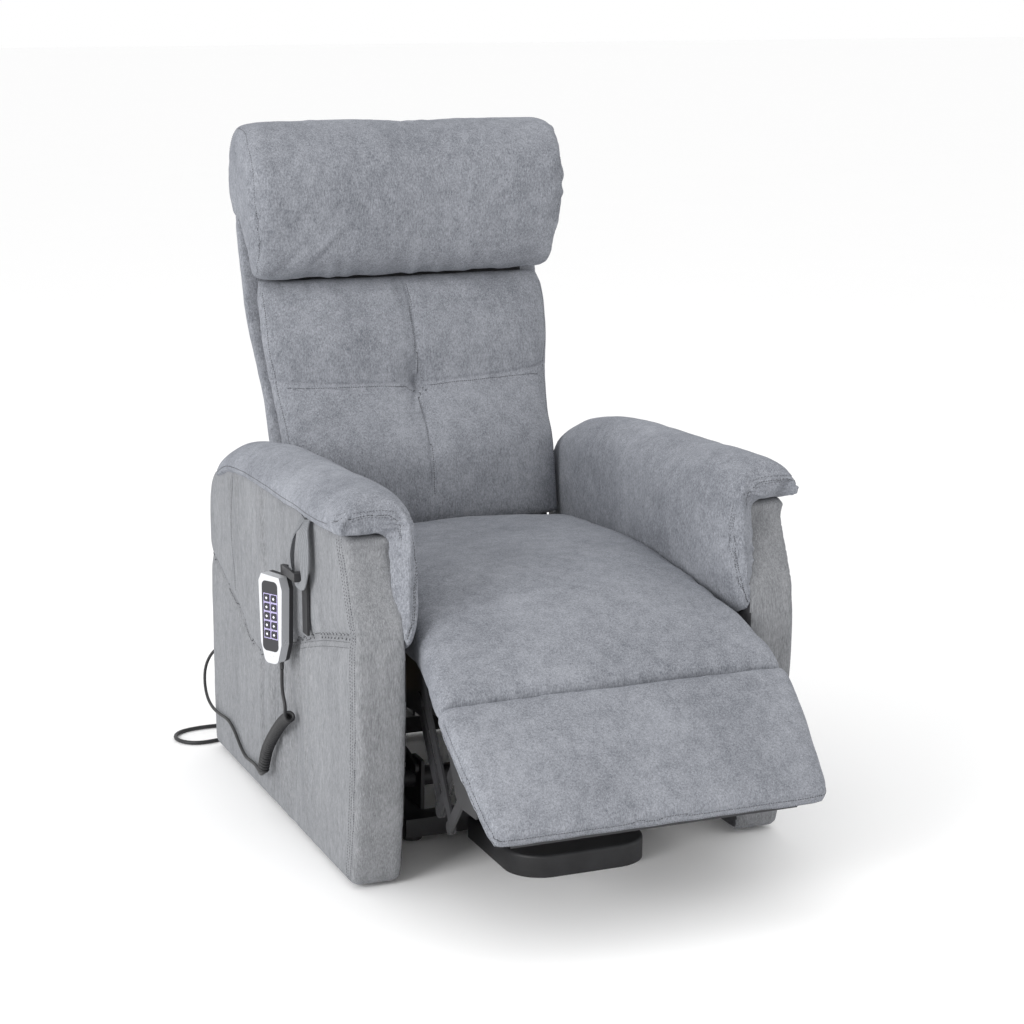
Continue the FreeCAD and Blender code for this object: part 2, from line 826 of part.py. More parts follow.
def seat_box():
    bodies = []
    for name, side in SIDES:
        body = new_body(f"side_rail_{name}")
        low, high = span(side, plate_outer, panel_inner)
        pad(body, f"side_rail_pad_{name}", "YZ", low, high, [[
            (size.seat_side_rail_front, size.seat_rail_bottom),
            (size.seat_rear, size.seat_rail_bottom),
            (size.seat_rear, size.seat_rail_top),
            (size.seat_side_rail_front, size.seat_rail_top),
        ]])
        bodies.append(body)
    compound("seat_side_rails", bodies)
    bodies = []
    starts = (("front", size.seat_front), ("rear", size.seat_rear - size.seat_rail_width))
    for name, start in starts:
        body = new_body(f"end_rail_{name}")
        pad(body, f"end_rail_pad_{name}", "YZ", -plate_inner, plate_inner, [[
            (start, size.seat_rail_bottom + 5),
            (start + size.seat_rail_width, size.seat_rail_bottom + 5),
            (start + size.seat_rail_width, size.seat_rail_top),
            (start, size.seat_rail_top),
        ]])
        bodies.append(body)
    compound("seat_end_rails", bodies)
    bodies = []
    for number in range(-2, 3):
        body = new_body(f"strap_{number + 3}")
        middle = as_size(number * 85)
        pad(body, f"strap_pad_{number + 3}", "XY", size.seat_rail_top,
            size.seat_rail_top + size.webbing_thick, [[
                (middle - size.webbing_width / 2, size.seat_front),
                (middle + size.webbing_width / 2, size.seat_front),
                (middle + size.webbing_width / 2, size.seat_rear),
                (middle - size.webbing_width / 2, size.seat_rear),
            ]])
        bodies.append(body)
    compound("seat_webbing", bodies)


# ---------------------------------------------------------------- footrest

def link_bar(body, name, side, lane, length, end_radius):
    low, high = span(side, lane_inner(lane), lane_outer(lane))
    half = size.link_radius - 1
    pad(body, f"{name}_bar", "YZ", low, high, [
        [(0, -half), (-as_size(length), -half), (-as_size(length), half), (0, half)],
    ])
    pad(body, f"{name}_near", "YZ", low, high, [("circle", 0, 0, size.link_radius)])
    pad(body, f"{name}_far", "YZ", low, high, [("circle", -as_size(length), 0, end_radius)])


def link_hole(body, name, side, lane, along, radius):
    low, high = span(side, lane_inner(lane), lane_outer(lane))
    cut(body, name, "YZ", low, high, [("circle", -as_size(along), 0, radius)])


def link_pin(body, name, side, from_lane, to_lane, along, radius):
    """Pin that starts inside one lane and ends flush with another."""
    if to_lane > from_lane:
        low, high = span(side, lane_inner(from_lane), lane_outer(to_lane))
    else:
        low, high = span(side, lane_inner(to_lane), lane_outer(from_lane))
    pad(body, name, "YZ", low, high, [("circle", -as_size(along), 0, radius)])


def footrest_rear_links():
    """Drive tube with a link welded on each end and the motor's crank."""
    body = new_body("footrest_drive_links")
    pad(body, "drive_tube", "YZ", -lane_inner(1), lane_inner(1), [
        ("circle", 0, 0, size.drive_tube_radius),
    ])
    for name, side in SIDES:
        low, high = span(side, lane_inner(1), lane_outer(1))
        pad(body, f"drive_boss_{name}", "YZ", low, high, [("circle", 0, 0, 15)])
        link_bar(body, f"drive_link_{name}", side, 1, size.rear_link_length, size.link_radius)
        link_pin(body, f"drive_pin_{name}", side, 1, 2, size.rear_link_length,
                 size.rivet_radius)
    turn = math.radians(size.footrest_crank_angle.value - size.rear_link_angle.value)
    along = -size.footrest_crank * math.cos(turn)
    across = size.footrest_crank * math.sin(turn)
    lane = -size.motor_lane
    side_y = 11 * math.sin(turn)
    side_z = 11 * math.cos(turn)
    pad(body, "crank_plate", "YZ", lane - 6, lane + 6, [[
        (side_y, side_z),
        (along + side_y, across + side_z),
        (along - side_y, across - side_z),
        (-side_y, -side_z),
    ]])
    pad(body, "crank_tip", "YZ", lane - 6, lane + 6, [("circle", along, across, 11)])
    pad(body, "crank_pin", "YZ", lane - 6, lane + 18, [
        ("circle", along, across, size.pivot_radius),
    ])
    set_in_side_view(body, size.rear_pivot_forward, size.rear_pivot_height,
                     size.rear_link_angle)
    keep("footrest_drive_links", body)


def pivot_point(forward, height, length, angle):
    """End of a link in the side view, as (forward, height)."""
    turn = math.radians(angle.value)
    return (forward.value + length.value * math.cos(turn),
            height.value + length.value * math.sin(turn))


def footrest_front_links():
    bodies = []
    for name, side in SIDES:
        body = new_body(f"front_link_{name}")
        link_bar(body, f"front_link_{name}", side, 3, size.front_link_length,
                 size.link_radius)
        link_hole(body, f"front_link_hole_{name}", side, 3, 0,
                  size.pivot_radius + size.running_gap)
        link_pin(body, f"front_link_pin_{name}", side, 3, 4, size.front_link_length,
                 size.rivet_radius)
        link_pin(body, f"crossing_pin_{name}", side, 3, 2, size.crossing_on_front_link,
                 size.rivet_radius)
        set_in_side_view(body, size.front_pivot_forward, size.front_pivot_height,
                         size.front_link_angle)
        bodies.append(body)
    compound("footrest_front_links", bodies)


def footrest_fork_links():
    start = pivot_point(size.rear_pivot_forward, size.rear_pivot_height,
                        size.rear_link_length, size.rear_link_angle)
    bodies = []
    for name, side in SIDES:
        body = new_body(f"rear_fork_{name}")
        link_bar(body, f"rear_fork_{name}", side, 2, size.rear_fork_length,
                 size.link_radius + 1)
        pad(body, f"rear_fork_boss_{name}", "YZ",
            *span(side, lane_inner(2), lane_outer(2)),
            [("circle", -size.crossing_on_rear_fork, 0, size.link_radius + 1)])
        link_hole(body, f"rear_fork_hole_{name}", side, 2, 0,
                  size.rivet_radius + size.running_gap)
        link_hole(body, f"crossing_hole_{name}", side, 2, size.crossing_on_rear_fork,
                  size.rivet_radius + size.crossing_play)
        link_hole(body, f"rear_fork_open_{name}", side, 2, size.rear_fork_length,
                  size.rivet_radius + size.rear_bracket_play)
        set_in_side_view(body, *start, size.rear_fork_angle)
        bodies.append(body)
    compound("footrest_rear_forks", bodies)
    start = pivot_point(size.front_pivot_forward, size.front_pivot_height,
                        size.front_link_length, size.front_link_angle)
    bodies = []
    for name, side in SIDES:
        body = new_body(f"front_fork_{name}")
        link_bar(body, f"front_fork_{name}", side, 4, size.front_fork_length,
                 size.rivet_radius + size.front_bracket_play + 4)
        link_hole(body, f"front_fork_hole_{name}", side, 4, 0,
                  size.rivet_radius + size.running_gap)
        link_hole(body, f"front_fork_open_{name}", side, 4, size.front_fork_length,
                  size.rivet_radius + size.front_bracket_play)
        set_in_side_view(body, *start, size.front_fork_angle)
        bodies.append(body)
    compound("footrest_front_forks", bodies)


def set_on_footrest(body):
    set_in_side_view(body, size.fold_forward, size.fold_height, -size.footrest_slope)


def footrest():
    """Board, pad and brackets, drawn flat from the fold line along -Y, top face at zero."""
    pad_bottom = -size.footrest_pad_thick
    board_bottom = pad_bottom - size.footrest_board_thick
    body = new_body("footrest_pad")
    pad(body, "pad_block", "XY", pad_bottom, 0, [[
        (-panel_inner, 0),
        (-(panel_inner - size.footrest_end_taper), -size.footrest_length),
        ((panel_inner - size.footrest_end_taper), -size.footrest_length),
        (panel_inner, 0),
    ]])
    fillet(body, "pad_corners", 22, lambda edge: runs_along(edge, ALONG_Z)
           and edge.CenterOfMass.y < -1)
    fillet(body, "pad_lip", 8, lambda edge: edge.CenterOfMass.y < -1
           and abs(edge.CenterOfMass.z) < 0.1)
    set_on_footrest(body)
    keep("footrest_pad", body)
    body = new_body("footrest_board")
    pad(body, "board", "XY", board_bottom, pad_bottom, [[
        (-(plate_inner - size.footrest_board_gap), -10),
        (-(plate_inner - size.footrest_board_gap), -size.footrest_length + 12),
        ((plate_inner - size.footrest_board_gap), -size.footrest_length + 12),
        ((plate_inner - size.footrest_board_gap), -10),
    ]])
    set_on_footrest(body)
    keep("footrest_board", body)
    bodies = []
    for name, side in SIDES:
        body = new_body(f"footrest_bracket_{name}")
        low, high = span(side, lane_inner(5), lane_outer(5))
        pad(body, f"bracket_web_{name}", "YZ", low, high, [[
            (-20, board_bottom),
            (-20, -size.rear_bracket_below - 9),
            (-size.rear_bracket_along, -size.rear_bracket_below - 13),
            (-size.front_bracket_along + 10, -size.front_bracket_below - 12),
            (-size.front_bracket_along - 12, -size.front_bracket_below - 12),
            (-160, board_bottom - 10),
            (-160, board_bottom),
        ]])
        low, high = span(side, (plate_inner - size.footrest_board_gap) - 38, lane_outer(5))
        pad(body, f"bracket_flange_{name}", "YZ", low, high, [[
            (-60, board_bottom - 3),
            (-160, board_bottom - 3),
            (-160, board_bottom),
            (-60, board_bottom),
        ]])
        low, high = span(side, lane_inner(2), lane_outer(5))
        pad(body, f"rear_bracket_pin_{name}", "YZ", low, high, [
            ("circle", -size.rear_bracket_along, -size.rear_bracket_below,
             size.rivet_radius),
        ])
        low, high = span(side, lane_inner(4), lane_outer(5))
        pad(body, f"front_bracket_pin_{name}", "YZ", low, high, [
            ("circle", -size.front_bracket_along, -size.front_bracket_below,
             size.rivet_radius),
        ])
        set_on_footrest(body)
        bodies.append(body)
    compound("footrest_brackets", bodies)


# ---------------------------------------------------------------- body of the chair

def side_panels():
    for name, side in SIDES:
        body = new_body(f"side_panel_{name}")
        low, high = span(side, panel_inner, panel_outer)
        pad(body, f"panel_{name}", "YZ", low, high, [[
            (0, size.panel_gap),
            (-24, 170),
            (-31, 330),
            (-28, 410),
            (8, size.arm_seam_height),
            (size.panel_depth - 173, size.arm_seam_height),
            (size.panel_depth - 50, size.arm_seam_height - 20),
            (size.panel_depth, size.arm_seam_height - 66),
            (size.panel_depth, size.panel_gap),
        ]])
        fillet(body, f"panel_belly_{name}", 120, lambda edge: runs_along(edge, ALONG_X)
               and edge.CenterOfMass.y < -20)
        keep(f"side_panel_{name}", body)


def arm_pads():
    outer = panel_outer + size.arm_pad_overhang
    seam = size.arm_seam_height
    top = seam + size.arm_pad_height
    for name, side in SIDES:
        body = new_body(f"arm_pad_{name}")
        outline = [
            (outer, seam), (outer, seam + 28), (outer - 22, top - 18), (outer - 54, top),
            (outer - 84, top - 6), (arm_pad_inner, seam + 44), (arm_pad_inner, seam - 146),
            (panel_inner, seam - 161), (panel_inner, seam),
        ]
        outline = [(x * side, z) for x, z in outline]
        pad(body, f"arm_block_{name}", "XZ", -size.arm_pad_front, size.panel_depth - 5,
            [outline])
        low, high = span(side, arm_pad_inner - 5, outer + 5)
        cut(body, f"arm_slope_{name}", "YZ", low, high, [
            [(350, top + 60), (350, top), (490, top - 20), (690, top - 76),
             (size.panel_depth - 50, top - 110), (size.panel_depth + 20, top - 150),
             (size.panel_depth + 20, top + 60)],
        ])
        cut(body, f"arm_nose_{name}", "YZ", low, high, [
            [(-60, top + 60), (-60, seam + 20), (-size.arm_pad_front, seam + 28),
             (-size.arm_pad_front + 12, seam + 64), (40, top - 3), (90, top + 0.5),
             (90, top + 60)],
        ])
        cut(body, f"arm_tongue_{name}", "YZ", low, high, [
            [(-60, seam - 200), (4, seam - 200), (4, seam - 1), (-60, seam - 1)],
        ])
        cut(body, f"arm_tail_{name}", "YZ", low, high, [
            [(size.panel_depth - 60, seam - 200), (size.panel_depth + 20, seam - 200),
             (size.panel_depth + 20, top), (size.panel_depth - 60, top)],
        ])
        keep(f"arm_pad_{name}", body)


def seat_cushion():
    body = new_body("seat_cushion")
    half = arm_pad_inner - size.seat_pad_gap
    bottom = size.seat_rail_top + size.webbing_thick
    top = bottom + size.seat_pad_height
    front = size.seat_front - 14
    pad(body, "seat_block", "YZ", -half, half, [[
        (front, bottom), (front, top - 42), (front + 45, top - 8),
        (240, top), (420, top - 4), (588, top - 38), (588, bottom + 27),
        (size.seat_rear, bottom),
    ]])
    fillet(body, "seat_shoulders", 22, lambda edge: abs(edge.CenterOfMass.x) > half.value - 1
           and edge.CenterOfMass.z > bottom.value + 60 and not runs_along(edge, ALONG_Z))
    keep("seat_cushion", body)


def back_line(height):
    """Y of the back frame's front face at a height."""
    lean = (818.0 - 660.0) / (930.0 - 362.0)
    return 660.0 + lean * (height - 362.0)


def waist(body, label, half, top):
    """Narrows the lower part of a back piece so that it passes between the arms."""
    for name, side in SIDES:
        low, high = sorted((side * 400.0, side * back_waist_half.value))
        cut(body, f"{label}_waist_{name}", "XZ", 500, 950, [[
            (low, 300), (high, 300), (high, size.back_waist_height),
            (low, size.back_waist_height),
        ]])


def back_group():
    body = new_body("back_frame")
    thick = size.back_frame_thick
    pad(body, "frame_board", "YZ", -lane_inner(1), lane_inner(1), [[
        (back_line(362), 362), (back_line(930), 930),
        (back_line(930) + thick, 930), (back_line(362) + thick, 362),
    ]])
    keep("back_frame", body)

    body = new_body("back_cushion")
    half = back_half - 10
    pad(body, "back_pad", "YZ", -half, half, [[
        (612, 402), (620, 520), (655, 600), (682, 700), (728, 812), (770, 826),
        (back_line(826), 826), (back_line(402), 402),
    ]])
    waist(body, "back_pad", half, 812)
    keep("back_cushion", body)

    body = new_body("head_cushion")
    head_top = size.head_top_height
    pad(body, "head_pad", "YZ", -head_half, head_half, [[
        (748, 832), (722, 880), (714, head_top - 110), (732, head_top - 35),
        (778, head_top), (832, head_top - 6), (864, head_top - 60), (864, 976),
        (back_line(930) + 24, 936), (back_line(930), 932), (back_line(832), 832),
    ]])
    fillet(body, "head_sides", 30, lambda edge: abs(edge.CenterOfMass.x) > 200
           and edge.CenterOfMass.z > head_top.value - 60
           and edge.CenterOfMass.y < 850 and not runs_along(edge, ALONG_X))
    keep("head_cushion", body)

    body = new_body("back_shell")
    pad(body, "shell", "YZ", -back_half, back_half, [[
        (back_line(385) + thick, 385), (737, 392), (776, 520), (812, 680), (866, 900),
        (876, 950), (866, 972), (back_line(934) + thick + 3, 936),
        (back_line(930) + thick, 930),
    ]])
    waist(body, "shell", back_half, 972)
    keep("back_shell", body)

    rear, height = back_crank_end()
    tube_rear = size.recline_pivot_rear + 66
    tube_height = size.recline_pivot_height + 14
    body = new_body("back_brackets")
    pad(body, "pivot_tube", "YZ", -lane_inner(1), lane_inner(1), [
        ("circle", tube_rear, tube_height, 10),
    ])
    for name, side in SIDES:
        low, high = span(side, lane_inner(1), lane_outer(1))
        pad(body, f"bracket_{name}", "YZ", low, high, [
            [
                (size.recline_pivot_rear - 16, size.recline_pivot_height - 12),
                (size.recline_pivot_rear + 4, size.recline_pivot_height - 20),
                (size.recline_pivot_rear + 84, size.recline_pivot_height - 4),
                (back_line(384) + 20, 384), (back_line(540) + 20, 540),
                (back_line(540) + 1, 540),
                (back_line(396) + 1, 396),
                (size.recline_pivot_rear - 8, size.recline_pivot_height + 18),
            ],
            ("circle", size.recline_pivot_rear, size.recline_pivot_height,
             size.pivot_radius + size.running_gap),
        ])
    lane = size.motor_lane
    pad(body, "back_crank_plate", "YZ", lane - 6, lane + 6, [[
        (tube_rear - 7, tube_height), (tube_rear + 7, tube_height),
        (rear + 11, height - 4), (rear, height - 11), (rear - 11, height + 2),
    ]])
    pad(body, "back_crank_pin", "YZ", lane - 6, lane + 18, [
        ("circle", rear, height, size.pivot_radius),
    ])
    keep("back_brackets", body)


# ---------------------------------------------------------------- handset

def set_on_handset(body):
    place = Vector(handset_x.value, size.handset_rear.value, size.handset_bottom.value)
    body.Placement = Placement(place, Rotation(Vector(0, 0, 1), size.handset_turn.value))


def beside_panel(outward, forward):
    """A point square to the side panel, from the handset's place, in its turned frame."""
    turn = math.radians(size.handset_turn.value)
    return (outward * math.cos(turn) + forward * math.sin(turn),
            forward * math.cos(turn) - outward * math.sin(turn))


def handset_outline():
    top = size.handset_top_width / 2
    tip = size.handset_tip_width / 2
    length = size.handset_length
    return [
        (-tip, 0), (tip, 0), (top - 3, 32), (top, length - 22), (top - 6, length - 3),
        (-top + 6, length), (-top, length - 12), (-top + 3, 32),
    ]


def handset():
    """Drawn upright at the origin with its face towards -Y, then turned and placed."""
    body = new_body("handset_face")
    pad(body, "face_shell", "XZ", -size.handset_face_thick, 0, [handset_outline()])
    fillet(body, "face_tip", 10, lambda edge: runs_along(edge, ALONG_Y)
           and edge.CenterOfMass.z < 1)
    socket = size.button_size / 2 + size.button_gap
    floor = -size.handset_face_thick + size.button_depth + 1
    for column in (-0.5, 0.5):
        for row in range(int(size.button_rows.value)):
            x = size.button_column_pitch * column
            z = size.button_first_height + size.button_row_pitch * row
            cut(body, f"socket_{row + 1}_{int(column + 1.5)}", "XZ",
                -size.handset_face_thick, floor, [[
                    (x - socket, z - socket), (x + socket, z - socket),
                    (x + socket, z + socket), (x - socket, z + socket),
                ]])
    set_on_handset(body)
    keep("handset_face", body)

    body = new_body("handset_back")
    pad(body, "back_half", "XZ", 0, size.handset_back_thick, [handset_outline()])
    fillet(body, "back_tip", 10, lambda edge: runs_along(edge, ALONG_Y)
           and edge.CenterOfMass.z < 1)
    pad(body, "cord_gland", "XY", -13.1, 3, [("circle", 1.94, 3.5, 3.4)])
    top = size.handset_length
    pad(body, "clip_neck", "XY", top - 24, top + 14, [[(6, 1), (17, 1), (17, 8), (6, 8)]])
    pad(body, "clip_bar", "XY", top + 0.5, top + 14, [[
        beside_panel(5, -8), beside_panel(5, -72), beside_panel(26, -72),
        beside_panel(26, -56), beside_panel(11, -56), beside_panel(11, -8),
    ]])
    pad(body, "clip_tongue", "XY", top - 84, top + 14, [[
        beside_panel(22, -56), beside_panel(22, -80), beside_panel(26, -80),
        beside_panel(26, -56),
    ]])
    set_on_handset(body)
    keep("handset_back", body)

    reach = size.button_size / 2
    for column, column_name in ((-0.5, "left"), (0.5, "right")):
        for row in range(int(size.button_rows.value)):
            x = size.button_column_pitch * column
            z = size.button_first_height + size.button_row_pitch * row
            label = f"handset_button_{column_name}_{row + 1}"
            body = new_body(label)
            front = -size.handset_face_thick - size.button_proud
            pad(body, f"key_{column_name}_{row + 1}", "XZ", front,
                front + size.button_depth, [[
                    (x - reach, z - reach), (x + reach, z - reach),
                    (x + reach, z + reach), (x - reach, z + reach),
                ]])
            fillet(body, f"key_corners_{column_name}_{row + 1}", 2,
                   lambda edge: runs_along(edge, ALONG_Y))
            set_on_handset(body)
            keep(label, body)


def handset_strap():
    """Loop of webbing sewn under the arm pad; the clip's bar passes through it."""
    body = new_body("handset_strap")
    seam = size.arm_seam_height
    rest = size.handset_bottom + size.handset_length
    low = -panel_outer - 18
    pad(body, "strap_loop", "YZ", low, low + 3, [
        [(138, seam - 2), (220, seam - 2), (226, rest + 6), (212, rest - 12),
         (152, rest - 12), (138, rest + 6)],
        [(146, seam - 18), (210, seam - 18), (217, rest + 8), (208, rest),
         (156, rest), (146, rest + 8)],
    ])
    pad(body, "strap_root", "YZ", low, -panel_outer - 1, [
        [(153, seam - 14), (203, seam - 14), (203, seam - 2), (153, seam - 2)],
    ])
    keep("handset_strap", body)


# ---------------------------------------------------------------- cords

HANDSET_LEAD = [
    (-392, 252, 286), (-391, 258, 264), (-389, 261, 243), (-387, 254, 224), (-385.5, 238, 212),
]
CURL = [
    (-385.5, 238, 212), (-385, 272, 196), (-385, 312, 167), (-385, 350, 137),
    (-385, 380, 106), (-385, 394, 76),
]
HANDSET_TAIL = [
    (-385, 394, 76), (-384, 407, 62), (-379, 436, 55), (-374, 474, 56), (-372.5, 510, 52),
    (-372, 546, 48), (-372, 580, 59), (-372, 612, 76), (-372, 652, 85), (-373, 704, 79),
    (-374, 748, 79), (-374, 782, 88), (-372, 806, 108), (-366, 822, 134), (-352, 826, 158),
    (-336, 816, 172), (-325, 798, 177), (-322, 781, 177),
]
MAINS = [
    (-120, 738, 63), (-121, 768, 60), (-127, 796, 47), (-141, 820, 28), (-163, 838, 12),
    (-195, 846, 4), (-235, 842, 4), (-280, 824, 4), (-322, 802, 4), (-360, 786, 4),
    (-394, 784, 4), (-416, 800, 4), (-424, 826, 4), (-416, 852, 4), (-393, 868, 4),
    (-352, 874, 4), (-300, 868, 4), (-240, 866, 4), (-180, 874, 4), (-120, 872, 4),
    (-65, 862, 4), (-20, 850, 4), (22, 844, 4),
]
COIL_CENTRE = (28.0, 805.0)
PLUG_PLACE = (97.0, 847.5)


def route_wire(points):
    """Straight runs joined by tangent arcs as large as their two runs allow."""
    points = [Vector(*point) for point in points]
    edges = []
    radii = []
    start = points[0]
    for before, here, after in zip(points, points[1:], points[2:]):
        into = here - before
        out = after - here
        shorter = min(into.Length, out.Length)
        into.normalize()
        out.normalize()
        half_turn = math.acos(max(-1.0, min(1.0, into.dot(out)))) / 2
        reach = 0.45 * shorter
        radii.append(reach / math.tan(half_turn))
        arc_start = here - into * reach
        arc_end = here + out * reach
        toward = out - into
        toward.normalize()
        centre = here + toward * (radii[-1] / math.cos(half_turn))
        middle = centre - toward * radii[-1]
        edges.append(Part.LineSegment(start, arc_start).toShape())
        edges.append(Part.Arc(arc_start, middle, arc_end).toShape())
        start = arc_end
    edges.append(Part.LineSegment(start, points[-1]).toShape())
    return Part.Wire(edges), radii


def cord_tube(label, points, diameter):
    wire, radii = route_wire(points)
    start = Vector(*points[0])
    direction = Vector(*points[1]) - start
    profile = Part.Wire([Part.makeCircle(diameter / 2, start, direction)])
    solid = wire.makePipeShell([profile], True, False)
    area = math.pi * diameter ** 2 / 4
    print(f"{label}: length {wire.Length:.0f}, smallest radius {min(radii):.1f}, "
          f"radii {[round(radius) for radius in radii]}, "
          f"volume / (section x length) {solid.Volume / (area * wire.Length):.4f}")
    feature = doc.addObject("Part::Feature", label)
    feature.Shape = solid
    return keep(label, feature)


def taper(label, start, stop, start_radius, stop_radius):
    """Moulded strain relief between two points."""
    start = Vector(*start)
    axis = Vector(*stop) - start
    feature = doc.addObject("Part::Feature", label)
    feature.Shape = Part.makeCone(start_radius, stop_radius, axis.Length, start, axis)
    return keep(label, feature)


def cords():
    cord_tube("handset_cord_lead", HANDSET_LEAD, size.handset_cord_diameter.value)
    cord_tube("handset_cord_curl", CURL, size.curl_diameter.value)
    cord_tube("handset_cord_tail", HANDSET_TAIL, size.handset_cord_diameter.value)
    inlet = Vector(*HANDSET_TAIL[-1])
    wall = size.panel_depth.value
    taper("handset_cord_inlet", (inlet.x, wall, inlet.z), tuple(inlet), 6.0, 4.0)
    relief = MAINS[0]
    rear = size.base_length_rear.value
    taper("mains_strain_relief", (relief[0], rear, relief[2]), relief, 7.0, 4.6)
    cord_tube("mains_cord", MAINS, size.mains_cord_diameter.value)
    coil = doc.addObject("Part::Feature", "mains_cord_coil")
    middle = size.coil_middle_diameter.value / 2
    band = size.coil_band.value / 2
    height = size.coil_height.value
    base = Vector(COIL_CENTRE[0], COIL_CENTRE[1], 0.3)
    ring = Part.makeCylinder(middle + band, height, base)
    coil.Shape = ring.cut(Part.makeCylinder(middle - band, height, base))
    keep("mains_cord_coil", coil)
    plug = new_body("mains_plug")
    x, y = PLUG_PLACE
    pad(plug, "plug_case", "XY", 1, 29, [[
        (x - 22, y - 18), (x + 8, y - 18), (x + 14, y - 12), (x + 14, y + 12),
        (x + 8, y + 18), (x - 22, y + 18),
    ]])
    fillet(plug, "plug_edges", 5, lambda edge: straight(edge)
           and not runs_along(edge, ALONG_Z))
    for start, stop, half in ((20, 30, 6.5), (30, 40, 5.5), (40, 49, 4.6)):
        pad(plug, f"plug_sleeve_{start}", "YZ", x - 2 - stop, x - 2 - start, [
            ("circle", y, 15, half),
        ])
    for name, side in SIDES:
        pad(plug, f"plug_pin_{name}", "YZ", x + 10, x + 33, [
            ("circle", y + 9.5 * side, 15, 2.4),
        ])
    keep("mains_plug", plug)


def build():
    base_rails()
    base_front_foot()
    base_rear_cross()
    base_glides()
    power_supply()
    lift_arms()
    lift_torque_tube()
    lift_guides()
    lift_actuator()
    back_actuator()
    footrest_actuator()
    mechanism_plates()
    cross_tubes()
    seat_box()
    footrest_rear_links()
    footrest_front_links()
    footrest_fork_links()
    footrest()
    side_panels()
    arm_pads()
    seat_cushion()
    back_group()
    handset()
    handset_strap()
    cords()
    doc.recompute()


def check_document():
    for item in doc.Objects:
        if "Invalid" in item.State or "Error" in item.State:
            raise RuntimeError(f"{item.Label} failed: {item.State}")
    for label, piece in pieces.items():
        shape = piece.Shape
        if shape.isNull() or not shape.isValid() or not shape.Solids:
            raise RuntimeError(f"{label} has no valid solid")


def export():
    os.makedirs("parts", exist_ok=True)
    for label, piece in pieces.items():
        piece.Shape.exportStep(f"parts/{label}.step")
    print(f"{len(pieces)} parts written")


build()
check_document()
export()
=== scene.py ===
import math
from itertools import product

import bmesh
import bpy
import numpy as np
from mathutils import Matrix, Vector
from mathutils.bvhtree import BVHTree


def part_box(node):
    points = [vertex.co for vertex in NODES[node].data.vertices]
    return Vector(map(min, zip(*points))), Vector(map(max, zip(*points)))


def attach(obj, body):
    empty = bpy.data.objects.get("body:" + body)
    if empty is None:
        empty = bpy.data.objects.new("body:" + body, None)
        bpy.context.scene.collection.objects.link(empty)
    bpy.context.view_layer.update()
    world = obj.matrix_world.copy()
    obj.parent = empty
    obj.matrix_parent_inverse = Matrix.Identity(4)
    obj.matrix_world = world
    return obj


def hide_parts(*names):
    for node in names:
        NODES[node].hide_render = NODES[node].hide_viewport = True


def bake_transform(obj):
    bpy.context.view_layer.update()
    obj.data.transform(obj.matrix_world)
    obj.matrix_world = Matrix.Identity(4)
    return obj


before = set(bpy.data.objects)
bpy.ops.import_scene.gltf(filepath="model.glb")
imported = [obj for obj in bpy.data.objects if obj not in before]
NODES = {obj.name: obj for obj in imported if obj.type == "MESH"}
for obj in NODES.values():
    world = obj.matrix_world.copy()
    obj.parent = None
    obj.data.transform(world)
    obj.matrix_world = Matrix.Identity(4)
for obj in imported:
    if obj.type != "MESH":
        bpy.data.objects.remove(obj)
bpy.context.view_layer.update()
bpy.ops.object.select_all(action="DESELECT")

SIDES = (("left", 1), ("right", -1))


# ---------------------------------------------------------------- shader recipes

class Value:
    """A number in a shader, so that sums are written as sums."""

    def __init__(self, recipe, socket):
        self.recipe = recipe
        self.socket = socket

    def _with(self, operation, other, turned=False):
        pair = (other, self) if turned else (self, other)
        return self.recipe.node("ShaderNodeMath", {"operation": operation},
                                {0: pair[0], 1: pair[1]})[0]

    def __add__(self, other):
        return self._with("ADD", other)

    def __radd__(self, other):
        return self._with("ADD", other)

    def __sub__(self, other):
        return self._with("SUBTRACT", other)

    def __rsub__(self, other):
        return self._with("SUBTRACT", other, True)

    def __mul__(self, other):
        return self._with("MULTIPLY", other)

    def __rmul__(self, other):
        return self._with("MULTIPLY", other)

    def above(self, other):
        return self._with("GREATER_THAN", other)

    def below(self, other):
        return self._with("LESS_THAN", other)

    def larger(self, other):
        return self._with("MAXIMUM", other)

    def size(self):
        return self._with("ABSOLUTE", 0.0)

    def from_nearest(self, pitch):
        """Distance from the nearest whole multiple of a pitch."""
        return self._with("PINGPONG", pitch / 2)


